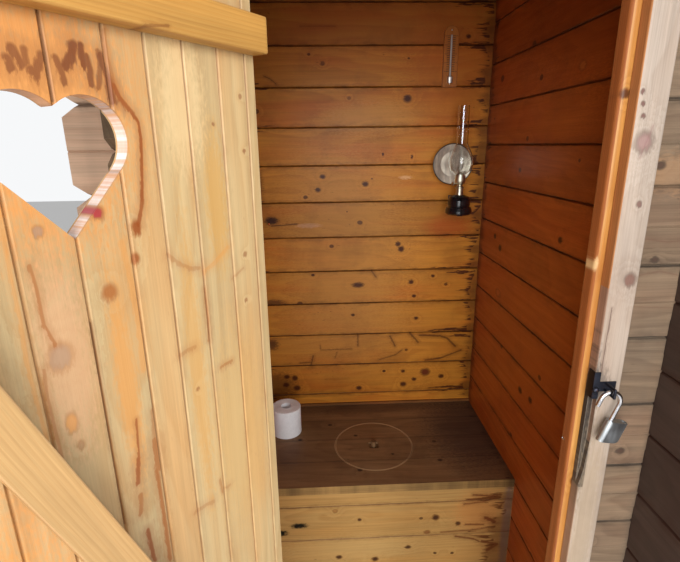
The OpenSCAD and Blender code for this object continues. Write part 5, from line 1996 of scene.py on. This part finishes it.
@dataclass
class PaperRoll:
    """The roll of paper on the bench: wound layers, a loose end and a cardboard core."""

    finishes: Finishes
    axis: Spot = (-0.314, 0.374)
    foot: float = BENCH_Z
    height: float = 0.107
    outer: float = 0.0535
    inner: float = 0.0210
    layers: int = 17
    core: float = 0.0014
    flap: float = 0.0022
    sheet: float = 0.0004
    seed: int = 11

    def build(self) -> None:
        """Wind the roll and put it in the place of its solid."""
        rng = random.Random(self.seed)
        place = Matrix.Translation((*self.axis, self.foot))
        form = Form()
        top = self.height
        outer = self.outer
        profile: list[Spot] = [
            (self.inner, 0.0006), (outer - 0.002, 0.0), (outer - 0.0004, 0.0012), (outer, 0.004),
            (outer + 0.0002, top * 0.5), (outer, top - 0.004), (outer - 0.0005, top - 0.0014),
        ]
        step = (outer - 0.002 - self.inner) / self.layers
        for k in range(self.layers):
            radius = outer - 0.0022 - k * step
            lift = rng.uniform(-0.00035, 0.00025)
            profile += [(radius, top + lift), (radius - step * 0.82, top + lift),
                        (radius - step * 0.9, top + lift - 0.0007)]
        profile.append((self.inner, top - 0.0006))
        form.turned(profile, place, 72, 0, True)
        self._loose_end(form, place)
        # The core wears the dark cardboard: painted shade in the hole of the roll
        near, far = self.inner - self.core, self.inner - 0.0001
        form.turned([(near, 0.001), (far, 0.001), (far, top + 0.0005), (near, top + 0.0005)], place, 48, 1,
                    True)
        roll = form.finish("wound_paper_roll", "cabin", "paper", self.finishes.other("paper"),
                           self.finishes.other("cardboard"))
        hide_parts("paper_roll")

    def _loose_end(self, form: Form, place: Matrix) -> None:
        """Let the last sheet stand off a little along the roll's side."""
        low, high = 0.0025, self.height - 0.0025
        rows = []
        for k in range(13):
            angle = 2.6 - 0.055 * k
            out = Vector((math.cos(angle), math.sin(angle), 0.0))
            near = self.outer + 0.0003 + self.flap * (k / 12) ** 2
            far = near + self.sheet
            rows.append([place @ (out * radius + Vector((0.0, 0.0, rise)))
                         for radius, rise in ((near, low), (near, high), (far, high), (far, low))])
        form.strip(rows)


@dataclass
class WallNail:
    """The rusty hook nail in the back wall, left of the lamp."""

    finishes: Finishes
    spot: Spot = (-0.359, 1.295)
    length: float = 0.024
    wire: float = 0.0015
    head_r: float = 0.0042

    def build(self) -> None:
        """Drive the nail."""
        form = Form()
        start = Vector((self.spot[0], BACK_IN + 0.004, self.spot[1]))
        tip = Vector((self.spot[0] + 0.002, BACK_IN - self.length, self.spot[1] + 0.003))
        form.rod([start, start.lerp(tip, 0.5), tip], self.wire)
        head = [(0, 0.0022), (0.0026, 0.0018), (self.head_r, 0.0006), (self.head_r, -0.0004), (0, -0.0004)]
        form.turned(head, seat(tip, tip - start), 20)
        form.finish("wall_nail", "cabin", "dark_steel", self.finishes.metal("copper_nail"))


@dataclass
class OilLamp:
    """The small parts of the oil lamp: reflector rim, gallery springs, wick and winder."""

    finishes: Finishes
    axis: Spot = (0.309, 0.444)
    burner_top: float = 1.469
    gallery_r: float = 0.0135
    mirror: Spot = (0.299, 1.501)
    mirror_r: float = 0.070
    rim_wire: float = 0.0019
    springs: int = 6
    spring_wire: float = 0.0007
    wick: Spot = (0.013, 0.0024)
    stem: float = 0.022
    wheel_r: float = 0.0060
    wheel_sides: int = 28

    def build(self) -> None:
        """Make the lamp's small parts."""
        fin = self.finishes
        x, y = self.axis
        rim = Form()
        low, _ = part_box("lamp_reflector")
        centre = (self.mirror[0], low[1] + 0.0012, self.mirror[1])
        rim.hoop(seat(centre, (0, -1, 0)), self.mirror_r - 0.0008, self.rim_wire)
        rim.finish("reflector_rim", "cabin", "reflector_metal", fin.metal("reflector_rim"))
        parts = Form()
        for k in range(self.springs):
            angle = 2 * math.pi * (k + 0.35) / self.springs
            out = Vector((math.cos(angle), math.sin(angle), 0.0))
            foot = Vector((x, y, self.burner_top - 0.004)) + out * self.gallery_r
            bends = ((0.0, 0.0), (0.0035, 0.004), (0.0028, 0.010), (0.0040, 0.016), (0.0062, 0.019))
            parts.rod([foot + out * far + Vector((0, 0, rise)) for far, rise in bends], self.spring_wire, 6)
        parts.hoop(Matrix.Translation((x, y, self.burner_top - 0.003)), self.gallery_r + 0.0008, 0.0009, 32)
        parts.hoop(Matrix.Translation((x, y, self.burner_top - 0.045)), 0.0148, 0.0010, 32)
        self._winder(parts)
        parts.finish("lamp_burner_parts", "cabin", "old_brass", fin.metal("nickel"))
        wick = Form()
        wide, deep = self.wick[0] / 2, self.wick[1] / 2
        wick.block((x - wide, y - deep, self.burner_top - 0.012),
                   (x + wide, y + deep, self.burner_top + 0.006), soften=0.0004)
        wick.finish("lamp_wick", "cabin", "pale_wood", fin.other("cotton"))

    def _winder(self, form: Form) -> None:
        """Add the wick winder: a thin stem with a knurled wheel."""
        x, y = self.axis
        base = Vector((x - 0.010, y - 0.004, self.burner_top - 0.030))
        way = Vector((-0.86, -0.5, 0.0)).normalized()
        tip = base + way * self.stem
        form.rod([base, base.lerp(tip, 0.5), tip], 0.0010, 8)
        frame = seat(tip, way)
        r, sides = self.wheel_r, self.wheel_sides
        rings = []
        for height, radius in ((-0.0014, r - 0.0008), (-0.0009, r), (0.0009, r), (0.0014, r - 0.0008)):
            ring = []
            for k in range(sides):
                angle = 2 * math.pi * k / sides
                far = radius * (1.0 if k % 2 else 0.93)
                spot = Vector((far * math.cos(angle), far * math.sin(angle), height))
                ring.append(form.mesh.verts.new(frame @ spot))
            rings.append(ring)
        for low, high in zip(rings, rings[1:]):
            form.band(low, high)
        for ring, height in ((rings[0], -0.0016), (rings[-1], 0.0016)):
            form.band([form.mesh.verts.new(frame @ Vector((0, 0, height)))], ring)


@dataclass
class Thermometer:
    """The scale, the bulb guard and the screws of the thermometer on the back wall."""

    finishes: Finishes
    x: float = 0.283
    face: float = 0.544
    first: float = 1.806
    pitch: float = 0.0055
    count: int = 21
    bulb_z: float = 1.779
    tick_in: float = 0.0048
    tick_out: float = 0.0135
    long_tick_out: float = 0.0155
    number_x: float = 0.0195
    number_h: float = 0.0056
    guard_half: Spot = (0.0105, 0.0095)
    guard_out: float = 0.0095
    screws_z: Spot = (1.768, 1.934)

    def build(self) -> None:
        """Mark the scale and add the guard and the screws."""
        fin = self.finishes
        ink = Form()
        for k in range(self.count):
            z = self.first + k * self.pitch
            reach = self.long_tick_out if k % 5 == 0 else self.tick_out
            for side in (-1, 1):
                near, far = sorted((self.x + side * self.tick_in, self.x + side * reach))
                ink.block((near, self.face - 0.00018, z - 0.0009), (far, self.face + 0.0002, z + 0.0009))
        ink.finish("thermometer_ticks", "cabin", "thermometer_wood", fin.other("scale_ink"))
        for k in range(0, self.count, 5):
            for side in (-1, 1):
                self._number(abs(2 * k - 20), k, side)
        guard = Form()
        self._guard(guard)
        for z in self.screws_z:
            frame = seat((self.x, self.face, z), (0, -1, 0))
            guard.turned([(0, 0.0012), (0.0014, 0.001), (0.0022, 0.0002), (0.0022, -0.0006), (0, -0.0006)],
                         frame, 16)
        guard.finish("thermometer_guard", "cabin", "bright_steel", fin.metal("bulb_guard"))

    def _guard(self, form: Form) -> None:
        """Add the bent strip of bright metal over the bulb."""
        half_x, half_z = self.guard_half
        low, high = self.bulb_z - half_z, self.bulb_z + half_z
        rows = []
        for k in range(15):
            share = -1 + k / 7
            x = self.x + half_x * share
            bend = math.sqrt(max(0.0, 1 - abs(share) ** 2.6))
            out = self.guard_out * bend if abs(share) < 0.97 else 0.0006
            near, far = self.face - out, self.face - out - 0.0005
            rows.append([(x, near, low), (x, near, high), (x, far, high), (x, far, low)])
        form.strip(rows)

    def _number(self, value: int, step: int, side: int) -> None:
        """Mark one plain number beside the scale."""
        data = bpy.data.curves.new(f"scale_number_{step}_{'r' if side > 0 else 'l'}", "FONT")
        data.body = str(value)
        data.size = self.number_h
        data.extrude = 0.0001
        data.align_x = data.align_y = "CENTER"
        thing = bpy.data.objects.new(data.name, data)
        height = self.first + step * self.pitch
        thing.matrix_world = seat((self.x + side * self.number_x, self.face - 0.0001, height), (0, -1, 0))
        show(thing)
        bpy.context.view_layer.update()
        mesh = bpy.data.meshes.new_from_object(thing.evaluated_get(bpy.context.evaluated_depsgraph_get()))
        mesh.transform(thing.matrix_world)
        bpy.data.objects.remove(thing)
        marked = bpy.data.objects.new(data.name, mesh)
        show(marked)
        dress(marked, self.finishes.other("scale_ink"))
        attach(marked, "cabin")


@dataclass
class Keyway:
    """The keyhole in the padlock's underside, with its ring."""

    finishes: Finishes
    hang: Point = (0.316, -0.479, 1.1441)
    tilt: float = math.radians(19.0)
    turn: float = math.radians(18.0)
    drop: Point = (0.0175, 0.0, -0.074)
    off_centre: float = 0.010

    def build(self) -> None:
        """Set the keyway into the padlock's underside."""
        frame = Matrix.Translation(self.hang) @ Matrix.Rotation(self.tilt, 4, "Y")
        frame = frame @ Matrix.Translation(self.drop) @ Matrix.Rotation(self.turn, 4, "Z")
        frame = frame @ Matrix.Translation((self.off_centre, 0.0, 0.0)) @ Matrix.Rotation(math.pi, 4, "X")
        form = Form()
        form.turned([(0.0046, 0.0001), (0.0054, 0.0004), (0.0058, -0.0004), (0.0046, -0.0004)], frame, 28,
                    closed=True)
        form.turned([(0, 0.0002), (0.0040, 0.0002), (0.0043, -0.0004), (0, -0.0004)], frame, 24)
        form.block((-0.0030, -0.0005, 0.0001), (0.0030, 0.0005, 0.0004), frame, skin=1)
        form.finish("padlock_keyway", "cabin", "padlock_steel", self.finishes.metal("lock_steel"),
                    self.finishes.metal("dark_steel"))


def main() -> None:
    """Build the looks of the outhouse in order, and report each piece."""
    logging.basicConfig(level=logging.INFO, format="%(name)s: %(message)s")
    bpy.context.scene.view_settings.view_transform = "Standard"
    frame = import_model()
    nodes = frame["nodes"]
    Studio().build()
    finishes = Finishes()
    Solids(nodes, finishes).build()
    Fixings(finishes, Surfaces(nodes)).build()
    for part in (PaperRoll, WallNail, OilLamp, Thermometer, Keyway):
        part(finishes).build()


if __name__ == "__main__":
    main()
